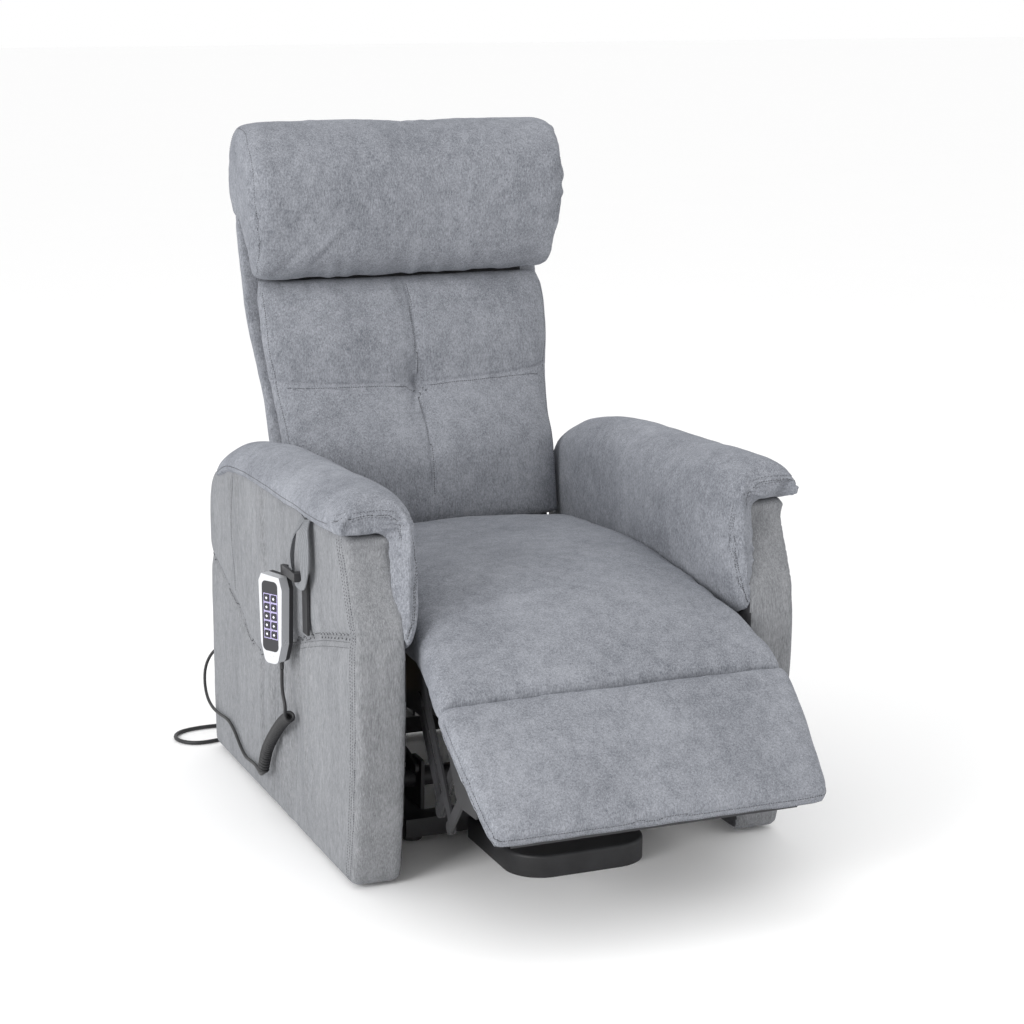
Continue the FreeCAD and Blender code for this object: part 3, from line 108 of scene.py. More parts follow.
class Recipe:
    """A material whose nodes are added one call at a time."""

    def __init__(self, name):
        self.material = bpy.data.materials.new(name)
        self.material.use_nodes = True
        self.tree = self.material.node_tree
        self.tree.nodes.clear()
        self.output = self.tree.nodes.new("ShaderNodeOutputMaterial")

    def node(self, kind, settings=None, inputs=None):
        node = self.tree.nodes.new(kind)
        for key, setting in (settings or {}).items():
            if key == "stops":
                for stop, (place, colour) in zip(node.color_ramp.elements, setting):
                    stop.position = place
                    stop.color = (*colour, 1)
            else:
                setattr(node, key, setting)
        for key, value in (inputs or {}).items():
            if isinstance(value, Value):
                self.tree.links.new(value.socket, node.inputs[key])
            elif hasattr(node.inputs[key].default_value, "__len__") and len(value) == 3 \
                    and len(node.inputs[key].default_value) == 4:
                node.inputs[key].default_value = (*value, 1)
            else:
                node.inputs[key].default_value = value
        return [Value(self, socket) for socket in node.outputs]

    def place(self, stretch=(1, 1, 1)):
        """Object coordinates, stretched along each axis."""
        coordinates = self.node("ShaderNodeTexCoord")[3]
        return self.node("ShaderNodeMapping", {}, {"Vector": coordinates, "Scale": stretch})[0]

    def clouds(self, place, scale, detail=3.0, roughness=0.5):
        return self.node("ShaderNodeTexNoise", {}, {
            "Vector": place, "Scale": scale, "Detail": detail, "Roughness": roughness})[0]

    def blend(self, factor, low, high):
        """Colour between two colours; a factor outside 0 to 1 is clamped."""
        return self.node("ShaderNodeMix", {"data_type": "RGBA"}, {0: factor, 6: low, 7: high})[2]

    def bump(self, height, strength, distance):
        return self.node("ShaderNodeBump", {}, {
            "Height": height, "Strength": strength, "Distance": distance})[0]

    def surface(self, **inputs):
        named = {key.replace("_", " "): value for key, value in inputs.items()}
        shader = self.node("ShaderNodeBsdfPrincipled", {}, named)[0]
        self.tree.links.new(shader.socket, self.output.inputs[0])
        return self.material


def velour(name, dark, light, grain, patch=1.0):
    """Brushed pile cloth: mottled where the pile lies in different directions."""
    cloth = Recipe(name)
    place = cloth.place(grain)
    swept = cloth.clouds(place, 7.0, 4.0, 0.55)
    mottled = cloth.clouds(place, 52.0, 5.0, 0.66)
    specks = cloth.clouds(place, 340.0, 3.0, 0.6)
    pile = cloth.clouds(place, 900.0, 2.0, 0.5)
    upright = (grain[0] * 2.2, grain[1] * 2.2, grain[2] * 0.5)
    fibres = cloth.clouds(cloth.place(upright), 330.0, 3.0, 0.65)
    tone = 0.5 + 0.9 * patch * (swept - 0.5) + 0.9 * patch * (mottled - 0.5)
    tone = tone + 1.3 * (specks - 0.5) + 1.6 * (fibres - 0.5) + 1.0 * (pile - 0.5)
    colour = cloth.blend(tone, dark, light)
    height = 0.35 * mottled + 0.35 * specks + 0.35 * fibres + 0.3 * pile
    return cloth.surface(
        Base_Color=colour, Roughness=0.9 + 0.08 * (mottled - 0.5),
        Sheen_Weight=0.12, Sheen_Roughness=0.5, Sheen_Tint=(0.75, 0.8, 0.9, 1),
        Specular_IOR_Level=0.15, Normal=cloth.bump(height, 0.5, 0.0016))


def woven(name, dark, light, pitch):
    """Plain weave of flat threads."""
    cloth = Recipe(name)
    place = cloth.place()
    threads = []
    for direction in ("X", "Z"):
        threads.append(cloth.node("ShaderNodeTexWave", {"bands_direction": direction}, {
            "Vector": place, "Scale": 0.314 / pitch, "Distortion": 0.6, "Detail": 1.0})[1])
    weave = 0.5 * threads[0] + 0.5 * threads[1]
    fluff = cloth.clouds(place, 240.0, 3.0)
    tone = 0.6 * weave + 0.5 * fluff
    return cloth.surface(
        Base_Color=cloth.blend(tone, dark, light), Roughness=0.92 - 0.1 * weave,
        Normal=cloth.bump(weave, 0.5, 0.0006))


def powder_coat(name, colour, worn):
    """Black baked powder: fine orange peel with dust on it."""
    paint = Recipe(name)
    place = paint.place()
    peel = paint.clouds(place, 620.0, 2.0)
    dust = paint.clouds(place, 14.0, 5.0, 0.6)
    return paint.surface(
        Base_Color=paint.blend(1.6 * dust - 0.5, colour, worn), Metallic=0.0,
        Roughness=0.42 + 0.25 * dust, Normal=paint.bump(peel, 0.25, 0.0005))


def ground_steel(name):
    """Plunger rod, ground along its length and oiled."""
    steel = Recipe(name)
    place = steel.place((1, 0.06, 1))
    lines = steel.clouds(place, 480.0, 3.0)
    return steel.surface(
        Base_Color=steel.blend(lines, (0.42, 0.42, 0.44), (0.68, 0.68, 0.7)), Metallic=1.0,
        Roughness=0.22 + 0.2 * lines, Normal=steel.bump(lines, 0.1, 0.0002))


def moulded(name, colour, shade, roughness, grain_scale=900.0):
    """Injection moulded plastic with a spark-eroded grain."""
    plastic = Recipe(name)
    place = plastic.place()
    grain = plastic.clouds(place, grain_scale, 2.0)
    handled = plastic.clouds(place, 32.0, 4.0, 0.6)
    return plastic.surface(
        Base_Color=plastic.blend(handled, colour, shade), Metallic=0.0,
        Roughness=roughness + 0.14 * (handled - 0.5) + 0.05 * grain,
        Normal=plastic.bump(grain, 0.15, 0.0003))


HANDSET_PLACE = (-0.396, 0.252, 0.300)
HANDSET_TURN = math.radians(-61)
KEY_COLUMN = 0.0075
KEY_FIRST, KEY_PITCH, KEY_LAST = 0.047, 0.0145, 0.105


def on_handset(plastic):
    """Distances across and up the handset, and from the middle of the nearest key."""
    x, y, z = plastic.node("ShaderNodeSeparateXYZ", {}, {"Vector": plastic.place()})
    across = ((x - HANDSET_PLACE[0]) * math.cos(HANDSET_TURN)
              + (y - HANDSET_PLACE[1]) * math.sin(HANDSET_TURN))
    up = z - HANDSET_PLACE[2]
    return across, up, (across.size() - KEY_COLUMN).size(), (up - KEY_FIRST).from_nearest(KEY_PITCH)


def handset_front(name):
    """Silver shell with a dark keypad area and a pale line round each key."""
    plastic = Recipe(name)
    across, up, beside, over = on_handset(plastic)
    wear = plastic.clouds(plastic.place(), 32.0, 4.0, 0.6)
    outside = ((across + 0.0012).size() - 0.0085).larger(0.0)
    beyond = ((up - 0.076).size() - 0.048).larger(0.0)
    dark = (outside * outside + beyond * beyond).below(0.0085 ** 2)
    reach = beside.larger(over)
    line = reach.above(0.0060) * reach.below(0.0071) * up.above(0.0395) * up.below(0.1125)
    colour = plastic.blend(wear, (0.60, 0.61, 0.63), (0.64, 0.65, 0.67))
    colour = plastic.blend(dark, colour, (0.022, 0.022, 0.026))
    colour = plastic.blend(line, colour, (0.50, 0.45, 0.72))
    return plastic.surface(Base_Color=colour, Metallic=0.35 - 0.35 * dark,
                           Roughness=0.24 + 0.10 * wear + 0.1 * dark)


def key_face(name):
    """Dark key with a small pale mark in the middle."""
    plastic = Recipe(name)
    _, _, beside, over = on_handset(plastic)
    grain = plastic.clouds(plastic.place(), 900.0, 2.0)
    mark = (beside + over).below(0.0024)
    colour = plastic.blend(mark, (0.02, 0.02, 0.026), (0.8, 0.8, 0.86))
    return plastic.surface(Base_Color=colour, Roughness=0.42 + 0.08 * grain,
                           Normal=plastic.bump(grain, 0.1, 0.0002))


def plywood(name):
    timber = Recipe(name)
    place = timber.place((9, 1, 9))
    rings = timber.node("ShaderNodeTexWave", {"bands_direction": "X"}, {
        "Vector": place, "Scale": 1.6, "Distortion": 6.0, "Detail": 3.0, "Detail Scale": 1.4})[1]
    pores = timber.clouds(place, 120.0, 3.0)
    tone = 0.6 * rings + 0.5 * pores
    return timber.surface(
        Base_Color=timber.blend(tone, (0.36, 0.24, 0.13), (0.62, 0.47, 0.3)),
        Roughness=0.7 - 0.15 * pores, Normal=timber.bump(tone, 0.3, 0.0006))


CLOTH_DARK = (0.115, 0.122, 0.139)
CLOTH_LIGHT = (0.30, 0.311, 0.340)
VELOUR = velour("velour", CLOTH_DARK, CLOTH_LIGHT, (1, 1, 0.75))
VELOUR_SIDE = velour("velour_side", (0.128, 0.132, 0.140), (0.285, 0.290, 0.302),
                     (1.3, 1.3, 0.35), 0.8)
LINING = woven("lining", (0.02, 0.02, 0.022), (0.05, 0.05, 0.055), 0.0012)
STRAP_CLOTH = woven("strap_cloth", (0.10, 0.105, 0.115), (0.25, 0.26, 0.275), 0.0011)
# Dark stitch colour; on the seam lines the same colour is painted shade in the seams.
THREAD_AND_SEAM_SHADE = woven("thread", (0.035, 0.037, 0.042), (0.09, 0.094, 0.102), 0.0005)
BLACK_STEEL = powder_coat("black_powder_coat", (0.012, 0.012, 0.013), (0.045, 0.045, 0.05))
ROD_STEEL = ground_steel("rod_steel")
BLACK_PLASTIC = moulded("black_plastic", (0.012, 0.012, 0.013), (0.03, 0.03, 0.033), 0.42)
HANDSET_FRONT = handset_front("handset_front")
KEY_CAP = key_face("key_cap")
RUBBER = moulded("cord_rubber", (0.01, 0.01, 0.011), (0.028, 0.028, 0.03), 0.5, 500.0)
PLYWOOD = plywood("plywood")


# ---------------------------------------------------------------- shapes in numbers

def lumps(points, size, seed=0):
    """Smooth noise from -1 to 1: a fixed value at each corner of a grid of that size."""
    grid = points / np.asarray(size, float) + 31.7 * seed
    cell = np.floor(grid).astype(np.int64)
    part = grid - cell
    part = part * part * (3 - 2 * part)
    total = np.zeros(len(points))
    for corner in product((0, 1), repeat=3):
        at = cell + corner
        mixed = (at[:, 0] * 73856093) ^ (at[:, 1] * 19349663) ^ (at[:, 2] * 83492791)
        mixed = (mixed * 2654435761) & 0xFFFFFFFF
        mixed = ((mixed ^ (mixed >> 15)) * 2246822519) & 0xFFFFFFFF
        weight = np.ones(len(points))
        for axis in range(3):
            weight = weight * (part[:, axis] if corner[axis] else 1 - part[:, axis])
        total += weight * (mixed / 0x7FFFFFFF - 1)
    return total


def ease(values, start, stop):
    """Zero before start, one after stop, smooth between."""
    part = np.clip((np.asarray(values, float) - start) / (stop - start), 0, 1)
    return part * part * (3 - 2 * part)


def curve_through(values, count, closed=False):
    """Smooth curve through rows of points, with count steps between neighbours."""
    rows = np.asarray(values, float)
    if closed:
        rows = np.concatenate([rows[-1:], rows, rows[:2]])
    else:
        rows = np.concatenate([2 * rows[:1] - rows[1:2], rows, 2 * rows[-1:] - rows[-2:-1]])
    found = []
    for before, here, after, beyond in zip(rows, rows[1:], rows[2:], rows[3:]):
        for step in range(count):
            t = step / count
            found.append(0.5 * (2 * here + (after - before) * t
                                + (2 * before - 5 * here + 4 * after - beyond) * t * t
                                + (3 * here - before - 3 * after + beyond) * t ** 3))
    if not closed:
        found.append(rows[-2])
    return np.array(found)


def profile(height, table):
    """Smooth value at a height, from a few (height, value) pairs."""
    steps = curve_through(table, 12)
    return np.interp(height, steps[:, 0], steps[:, 1])


def near_line(points, line):
    """Distance of each point from a run of straight pieces, and how far along it is."""
    line = np.asarray(line, float)
    best = np.full(len(points), 1e9)
    along = np.zeros(len(points))
    gone = 0.0
    for start, stop in zip(line, line[1:]):
        run = stop - start
        length = np.linalg.norm(run)
        share = np.clip((points - start) @ run / length ** 2, 0, 1)
        distance = np.linalg.norm(points - start - share[:, None] * run, axis=1)
        closer = distance < best
        best = np.where(closer, distance, best)
        along = np.where(closer, gone + share * length, along)
        gone += length
    return best, along


def dent(distance, width, depth):
    return -depth * np.exp(-(distance / width) ** 2)


def sewn(points, line, depth=0.0035, pull=0.004):
    """A seam: a narrow valley in a wider one."""
    distance, _ = near_line(points, line)
    return dent(distance, 0.0032, depth) + dent(distance, 0.016, pull)


def topstitched(points, line):
    """A pressed seam with the row of stitches beside it sunk a little."""
    distance, _ = near_line(points, line)
    return dent(distance, 0.0026, 0.0028) + dent(distance - 0.0075, 0.0018, 0.0012)


def gathered(points, line, reach, height, pitch, seed):
    """Short folds that run out from a seam and fade."""
    distance, along = near_line(points, line)
    folds = np.stack([along / pitch, distance / (pitch * 5), along * 0], axis=1)
    return height * lumps(folds, 1.0, seed) * np.exp(-distance / reach)


# ---------------------------------------------------------------- making padded pieces

def only(piece):
    bpy.ops.object.select_all(action="DESELECT")
    piece.select_set(True)
    bpy.context.view_layer.objects.active = piece


def apply_modifier(piece, kind, **settings):
    only(piece)
    modifier = piece.modifiers.new(kind.lower(), kind)
    for key, value in settings.items():
        setattr(modifier, key, value)
    bpy.ops.object.modifier_apply(modifier=modifier.name)


def skinned(name, rings):
    """Closed form over rings of equal count, with both ends closed."""
    mesh = bpy.data.meshes.new(name)
    shape = bmesh.new()
    rows = [[shape.verts.new(point) for point in ring] for ring in rings]
    count = len(rows[0])
    for one, other in zip(rows, rows[1:]):
        for index in range(count):
            following = (index + 1) % count
            shape.faces.new((one[index], one[following], other[following], other[index]))
    shape.faces.new(rows[0][::-1])
    shape.faces.new(rows[-1])
    bmesh.ops.recalc_face_normals(shape, faces=shape.faces)
    shape.to_mesh(mesh)
    shape.free()
    piece = bpy.data.objects.new(name, mesh)
    bpy.context.collection.objects.link(piece)
    return piece


def vertex_places(piece):
    places = np.empty(len(piece.data.vertices) * 3)
    piece.data.vertices.foreach_get("co", places)
    return places.reshape(-1, 3)


def vertex_normals(piece):
    normals = np.empty(len(piece.data.vertices) * 3)
    piece.data.vertex_normals.foreach_get("vector", normals)
    return normals.reshape(-1, 3)


def move_vertices(piece, places):
    piece.data.vertices.foreach_set("co", places.ravel())
    piece.data.update()


def swollen(piece, pressure, cap, frames=14):
    """Blows the cover up as cloth, then limits how far any point has gone."""
    only(piece)
    before = vertex_places(piece)
    cloth = piece.modifiers.new("filling", "CLOTH")
    cloth.settings.quality = 4
    cloth.settings.use_pressure = True
    cloth.settings.uniform_pressure_force = pressure
    cloth.settings.effector_weights.gravity = 0
    cloth.settings.tension_stiffness = 12
    cloth.settings.compression_stiffness = 12
    cloth.settings.bending_stiffness = 0.4
    cloth.collision_settings.use_self_collision = False
    cloth.point_cache.frame_end = frames
    for step in range(1, frames + 1):
        bpy.context.scene.frame_set(step)
    bpy.ops.object.modifier_apply(modifier=cloth.name)
    bpy.context.scene.frame_set(1)
    moved = vertex_places(piece) - before
    length = np.linalg.norm(moved, axis=1, keepdims=True)
    move_vertices(piece, before + moved * np.minimum(1, cap / np.maximum(length, 1e-9)))


def upholstered(name, rings, body, sculpt, nodes=(), voxel=0.006, swell=0.0,
                levels=1, cover=None, smoothing=4):
    """Form, even mesh, swelling, seams and folds: then the piece is attached to its body, if it has
    one, and its CAD nodes are hidden.
    """
    piece = skinned(name, rings)
    apply_modifier(piece, "REMESH", mode="VOXEL", voxel_size=voxel, use_smooth_shade=True)
    apply_modifier(piece, "SMOOTH", factor=0.5, iterations=smoothing)
    if swell:
        swollen(piece, 4.0, swell)
    if levels:
        apply_modifier(piece, "SUBSURF", levels=levels, render_levels=levels)
    for change in sculpt:
        places = vertex_places(piece)
        normals = vertex_normals(piece)
        moved = change(places, normals)
        if moved.ndim == 1:
            moved = moved[:, None] * normals
        move_vertices(piece, places + moved)
    piece.data.shade_smooth()
    piece.data.materials.append(cover or VELOUR)
    if body:
        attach(piece, body)
    if nodes:
        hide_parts(*nodes)
    return piece


def stitches(name, host, lines, body, proud=0.0004, pitch=0.0052, length=0.0034, radius=0.00055):
    """Rows of thread, each stitch laid on its piece of cloth."""
    tree = BVHTree.FromObject(host, bpy.context.evaluated_depsgraph_get())
    mesh = bpy.data.meshes.new(name)
    shape = bmesh.new()
    for line in lines:
        path = curve_through(line, 24)
        steps = np.linalg.norm(np.diff(path, axis=0), axis=1)
        gone = np.concatenate([[0], np.cumsum(steps)])
        places = np.arange(pitch, gone[-1] - pitch, pitch)
        along = np.stack([np.interp(places, gone, path[:, axis]) for axis in range(3)], axis=1)
        for index in range(len(along) - 1):
            here, normal, _, _ = tree.find_nearest(Vector(along[index]))
            there, _, _, _ = tree.find_nearest(Vector(along[index + 1]))
            if here is None or (there - here).length < 1e-5:
                continue
            run = (there - here).normalized()
            side = normal.cross(run).normalized() * radius
            lift = normal * radius
            middle = here + normal * proud + run * (pitch / 2)
            ends = [shape.verts.new(middle + run * (length / 2) * sign) for sign in (-1, 1)]
            ring = [shape.verts.new(middle + offset) for offset in (side, lift, -side, -lift)]
            for corner in range(4):
                following = (corner + 1) % 4
                shape.faces.new((ends[0], ring[following], ring[corner]))
                shape.faces.new((ends[1], ring[corner], ring[following]))
    bmesh.ops.recalc_face_normals(shape, faces=shape.faces)
    shape.to_mesh(mesh)
    shape.free()
    rows = bpy.data.objects.new(name, mesh)
    bpy.context.collection.objects.link(rows)
    rows.data.materials.append(THREAD_AND_SEAM_SHADE)
    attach(rows, body)
    return rows


def seam_shade_line(name, host, lines, body):
    """A dark line sunk along a seam where two cloths are drawn together: painted shade for the
    shadow in the seam.
    """
    return stitches(name, host, lines, body, proud=-0.0002, pitch=0.004, length=0.0046,
                    radius=0.001)


# ---------------------------------------------------------------- side panels

PANEL_FRONT = [(0.007, 0.003), (0.09, -0.014), (0.17, -0.024), (0.25, -0.031), (0.33, -0.033),
               (0.41, -0.030), (0.46, -0.012), (0.52, 0.012), (0.549, 0.022)]
PANEL_TOP = [(0.549, 0.30), (0.549, 0.57), (0.535, 0.665), (0.512, 0.735), (0.47, 0.769)]
PANEL_REAR = [(0.40, 0.773), (0.20, 0.773), (0.007, 0.773)]
POCKET_SEAM = [(0.777, 0.36), (0.719, 0.346), (0.66, 0.325), (0.584, 0.298), (0.52, 0.262),
               (0.439, 0.257), (0.34, 0.30), (0.241, 0.336), (0.12, 0.372), (-0.008, 0.402)]


def panel_rings(side):
    outline = [(y, z) for z, y in PANEL_FRONT + PANEL_TOP + PANEL_REAR]
    outline = np.concatenate([curve_through(outline, 6), [[0.4, 0.007]]])
    centre = outline.mean(axis=0)
    rings = []
    for across, inset in ((0.2835, 0.008), (0.2855, 0.003), (0.291, 0.0),
                          (0.325, 0.0), (0.356, 0.0), (0.3625, 0.003), (0.365, 0.009)):
        arm = outline - centre
        size = np.linalg.norm(arm, axis=1, keepdims=True)
        ring = centre + arm * (1 - inset / size)
        ring[:, 1] = np.maximum(ring[:, 1], 0.007)
        rings.append([(side * across, y, z) for y, z in ring])
    return rings


def front_seam_on(side, shift=0.0):
    """Seam where the side cloth meets the front cloth, on the outer face."""
    return [(side * 0.365, y + 0.012 + shift, z) for z, y in PANEL_FRONT]


def panel_cloth(side):
    seam = curve_through(front_seam_on(side), 4)

    def shape(places, normals):
        out = np.clip(side * normals[:, 0], 0, 1)
        move = 0.0014 * lumps(places, (0.12, 0.12, 0.2), 3) + 0.0006 * lumps(places, 0.035, 4)
        move += 0.003 * out * np.sin(np.pi * np.clip(places[:, 1] / 0.77, 0, 1))
        move += out * topstitched(places, seam)
        if side < 0:
            pocket = curve_through([(-0.366, y, z) for y, z in POCKET_SEAM], 6)
            move += out * sewn(places, pocket, 0.0045, 0.004)
            edge = np.interp(places[:, 1], [y for y, _ in POCKET_SEAM[::-1]],
                             [z for _, z in POCKET_SEAM[::-1]])
            below = ease(edge - places[:, 2], 0.0, 0.01)
            folds = places.copy()
            folds[:, 1] += 0.02 * np.sin(places[:, 2] * 9)
            held = np.exp(-((places[:, 1] - 0.32) / 0.11) ** 2)
            drape = lumps(folds, (1.0, 0.019, 0.30), 8) + 0.5 * lumps(folds, (1.0, 0.011, 0.2), 9)
            move += out * below * held * 0.014 * drape
            shoulder = np.exp(-((places[:, 1] - 0.60) / 0.05) ** 2)
            shoulder += np.exp(-((places[:, 1] - 0.42) / 0.05) ** 2)
            shoulder *= ease(places[:, 2], 0.30, 0.4)
            move += out * shoulder * 0.007 * lumps(folds, (1.0, 0.018, 0.35), 12)
        hem = 0.12 + 0.88 * ease(places[:, 2], 0.01, 0.12)
        return hem * move
    return [shape]


def side_panels():
    for name, side in SIDES:
        piece = upholstered(f"side_panel_cover_{name}", panel_rings(side), "chassis",
                            panel_cloth(side), [f"side_panel_{name}"], voxel=0.0075,
                            cover=VELOUR_SIDE, smoothing=3)
        piece.data.materials.append(LINING)
        for face in piece.data.polygons:
            if abs(face.center.x) < 0.287 and side * face.normal.x < -0.4:
                face.material_index = 1
        rows = [front_seam_on(side, 0.007), front_seam_on(side, 0.014)]
        if side < 0:
            hem = [(-0.368, y, z - 0.007) for y, z in POCKET_SEAM if y < 0.3]
            rows += [hem, [(x, y, z - 0.009) for x, y, z in hem]]
        stitches(f"panel_stitching_{name}", piece, rows, "chassis")
        seams = [front_seam_on(side)]
        if side < 0:
            seams += [[(-0.368, y, z) for y, z in POCKET_SEAM],
                      [(-0.368, 0.605, 0.53), (-0.368, 0.615, 0.42), (-0.368, 0.60, 0.32)]]
        # Dark lines along the panel seams: painted shade in the seams.
        seam_shade_line(f"panel_seam_shade_{name}", piece, seams, "chassis")


# ---------------------------------------------------------------- arm pads

ARM_STATIONS = [
    # y, then the section: outer edge, top, inner bulge, lower point, back along the panel
    (0.000, [(.376, .550), (.384, .563), (.378, .580), (.357, .600), (.332, .611), (.305, .607),
             (.281, .588), (.267, .555), (.261, .500), (.263, .440), (.275, .398), (.290, .390),
             (.300, .45), (.308, .545), (.340, .549)]),
    (0.030, [(.377, .550), (.386, .562), (.380, .579), (.358, .602), (.330, .615), (.298, .613),
             (.272, .594), (.257, .556), (.250, .500), (.252, .440), (.264, .388), (.283, .372),
             (.286, .45), (.286, .545), (.330, .549)]),
    (0.085, [(.377, .550), (.387, .561), (.380, .578), (.357, .600), (.328, .613), (.294, .612),
             (.265, .593), (.248, .554), (.242, .500), (.244, .430), (.257, .372), (.279, .355),
             (.2845, .45), (.2845, .545), (.330, .549)]),
    (0.22, [(.376, .549), (.386, .560), (.379, .576), (.356, .597), (.326, .609), (.292, .607),
            (.263, .590), (.246, .552), (.240, .500), (.243, .430), (.256, .368), (.279, .352),
            (.2845, .45), (.2845, .545), (.330, .549)]),
    (0.38, [(.375, .547), (.384, .558), (.377, .573), (.354, .593), (.324, .604), (.292, .602),
            (.266, .586), (.252, .550), (.248, .500), (.250, .430), (.261, .368), (.280, .352),
            (.2845, .45), (.2845, .545), (.330, .548)]),
    (0.50, [(.373, .544), (.381, .554), (.374, .568), (.352, .586), (.322, .596), (.293, .593),
            (.270, .578), (.258, .545), (.256, .500), (.257, .430), (.265, .368), (.280, .352),
            (.2845, .44), (.2845, .54), (.330, .545)]),
    (0.62, [(.371, .530), (.376, .540), (.369, .554), (.348, .570), (.320, .578), (.293, .573),
            (.270, .556), (.260, .528), (.258, .490), (.258, .430), (.264, .370), (.280, .354),
            (.2845, .43), (.2845, .520), (.330, .531)]),
    (0.70, [(.368, .505), (.371, .513), (.363, .529), (.345, .543), (.320, .549), (.295, .544),
            (.272, .528), (.262, .505), (.260, .470), (.260, .425), (.264, .380), (.280, .364),
            (.2845, .42), (.2845, .490), (.330, .506)]),
]
NOSE = [(.352, -.034), (.388, -.034), (.404, -.032), (.459, -.016), (.520, -.004), (.548, -.006),
        (.556, -.020), (.568, -.026), (.582, -.024), (.598, -.010), (.612, .012), (.630, .05)]


def arm_rings(side):
    """Sections along the arm; the front ones follow the curved nose."""
    keys = np.array([section for _, section in ARM_STATIONS], float)
    places = np.array([[y] for y, _ in ARM_STATIONS])
    dense = np.stack([curve_through(keys[:, index], 8) for index in range(keys.shape[1])], axis=1)
    along = curve_through(places, 8)[:, 0]
    rings = []
    for y, section in zip(along, dense):
        ring = curve_through(section, 4, closed=True)
        fade = 1 - float(ease(y, 0.0, 0.10))
        nose = (profile(ring[:, 1], NOSE)
                + 0.022 * ease(ring[:, 0], 0.30, 0.315) * (ring[:, 1] < 0.552))
        if side > 0:
            ring[:, 0] -= (0.004 + 0.009 * fade) * ease(ring[:, 0], 0.34, 0.385)
        rings.append([(side * x, y + fade * shift, z) for (x, z), shift in zip(ring, nose)])
    return rings


def arm_lines(side):
    """The sewn lines of an arm: the front band and the long outer seam."""
    band = [(.385, .016, .574), (.372, -.012, .580), (.345, -.022, .584), (.312, -.020, .584),
            (.290, -.014, .570), (.278, -.008, .54), (.272, -.008, .50), (.272, -.016, .45),
            (.278, -.028, .41), (.288, -.034, .39)]
    outer = [(.386, .03, .566), (.387, .09, .563), (.386, .22, .562), (.384, .38, .560),
             (.381, .50, .556), (.376, .62, .542), (.371, .70, .515)]
    return [[(side * x, y, z) for x, y, z in line] for line in (band, outer)]


def arm_cloth(side):
    band, outer = [curve_through(line, 6) for line in arm_lines(side)]
    corner = np.array([side * 0.282, -0.012, 0.572])

    def shape(places, normals):
        move = 0.0022 * lumps(places, 0.085, 21) + 0.0009 * lumps(places, 0.03, 22)
        move += topstitched(places, band) + 0.6 * sewn(places, outer, 0.0012, 0.001)
        move += gathered(places, band, 0.022, 0.0024, 0.011, 23 + side)
        near = np.linalg.norm(places - corner, axis=1)
        move += dent(near, 0.02, 0.004)
        turn = np.arctan2(places[:, 2] - corner[2], places[:, 1] - corner[1])
        fan = np.stack([turn * 2.6, near * 6, near * 0], axis=1)
        move += 0.003 * lumps(fan, 1.0, 27) * np.exp(-near / 0.07) * ease(near, 0.0, 0.02)
        rolled = np.clip(-side * normals[:, 0], 0, 1) * ease(places[:, 2], 0.36, 0.42)
        move += 0.0014 * rolled * lumps(places, (0.2, 0.05, 0.09), 28)
        return move
    return [shape]


def arm_pads():
    for name, side in SIDES:
        piece = upholstered(f"arm_pad_cover_{name}", arm_rings(side), "chassis", arm_cloth(side),
                            [f"arm_pad_{name}"], voxel=0.005, swell=0.002, smoothing=2)
        band = arm_lines(side)[0]
        inside = [(x, y + 0.004, z - 0.004) for x, y, z in band]
        outside = [(x - side * 0.004, y + 0.006, z + 0.007) for x, y, z in band]
        stitches(f"arm_stitching_{name}", piece, [inside, outside], "chassis")
        # Dark lines along the arm seams: painted shade in the seams.
        seam_shade_line(f"arm_seam_shade_{name}", piece, arm_lines(side), "chassis")


# ---------------------------------------------------------------- seat and footrest

SEAT_STATIONS = [
    # y, middle of top, side of top, bottom, half width
    (0.592, .418, .402, .372, .250),
    (0.56, .430, .413, .344, .256),
    (0.46, .440, .424, .337, .256),
    (0.34, .446, .431, .337, .256),
    (0.22, .447, .428, .337, .256),
    (0.12, .442, .420, .337, .255),
    (0.04, .431, .409, .336, .256),
    (-0.02, .415, .396, .326, .262),
    (-0.07, .395, .380, .312, .270),
    (-0.115, .370, .360, .300, .277),
    (-0.145, .350, .342, .296, .281),
    (-0.156, .336, .331, .300, .281),
]


def seat_rings():
    rings = []
    for y, middle, edge, bottom, half in curve_through(SEAT_STATIONS, 5):
        keys = [(0, middle), (half * .45, middle - (middle - edge) * .16),
                (half * .78, middle - (middle - edge) * .52), (half - .016, edge + .001),
                (half - .002, edge - .014), (half, (edge + bottom) / 2),
                (half - .003, bottom + .012),
                (half - .02, bottom), (half * .5, bottom)]
        keys += [(0, bottom)] + [(-x, z) for x, z in keys[:0:-1]]
        rings.append([(x, y, z) for x, z in curve_through(keys, 4, closed=True)])
    return rings


def seat_cloth(places, normals):
    up = np.clip(normals[:, 2], 0, 1)
    move = 0.0026 * lumps(places, 0.13, 41) + 0.001 * lumps(places, (0.05, 0.04, 0.05), 42)
    fold = [(-0.285, -0.157, 0.333), (0.285, -0.157, 0.333)]
    move += 0.6 * gathered(places, fold, 0.035, 0.0022, 0.016, 43)
    sides = ease(np.abs(places[:, 0]), 0.20, 0.27)
    move += 0.0022 * sides * lumps(places, (0.2, 0.026, 0.06), 44)
    hollow = np.exp(-((places[:, 0] / 0.17) ** 2 + ((places[:, 1] - 0.33) / 0.2) ** 2))
    move -= 0.006 * up * hollow
    return move


SLOPE = math.radians(38.7)
FOLD = Vector((0, -0.157, 0.331))
DOWN_SLOPE = Vector((0, -math.cos(SLOPE), -math.sin(SLOPE)))
OFF_SLOPE = Vector((0, -math.sin(SLOPE), math.cos(SLOPE)))


def on_slope(across, along, rise):
    """A point of the footrest, from its distances across, down the slope and off it."""
    return Vector((across, 0, 0)) + FOLD + DOWN_SLOPE * along + OFF_SLOPE * rise


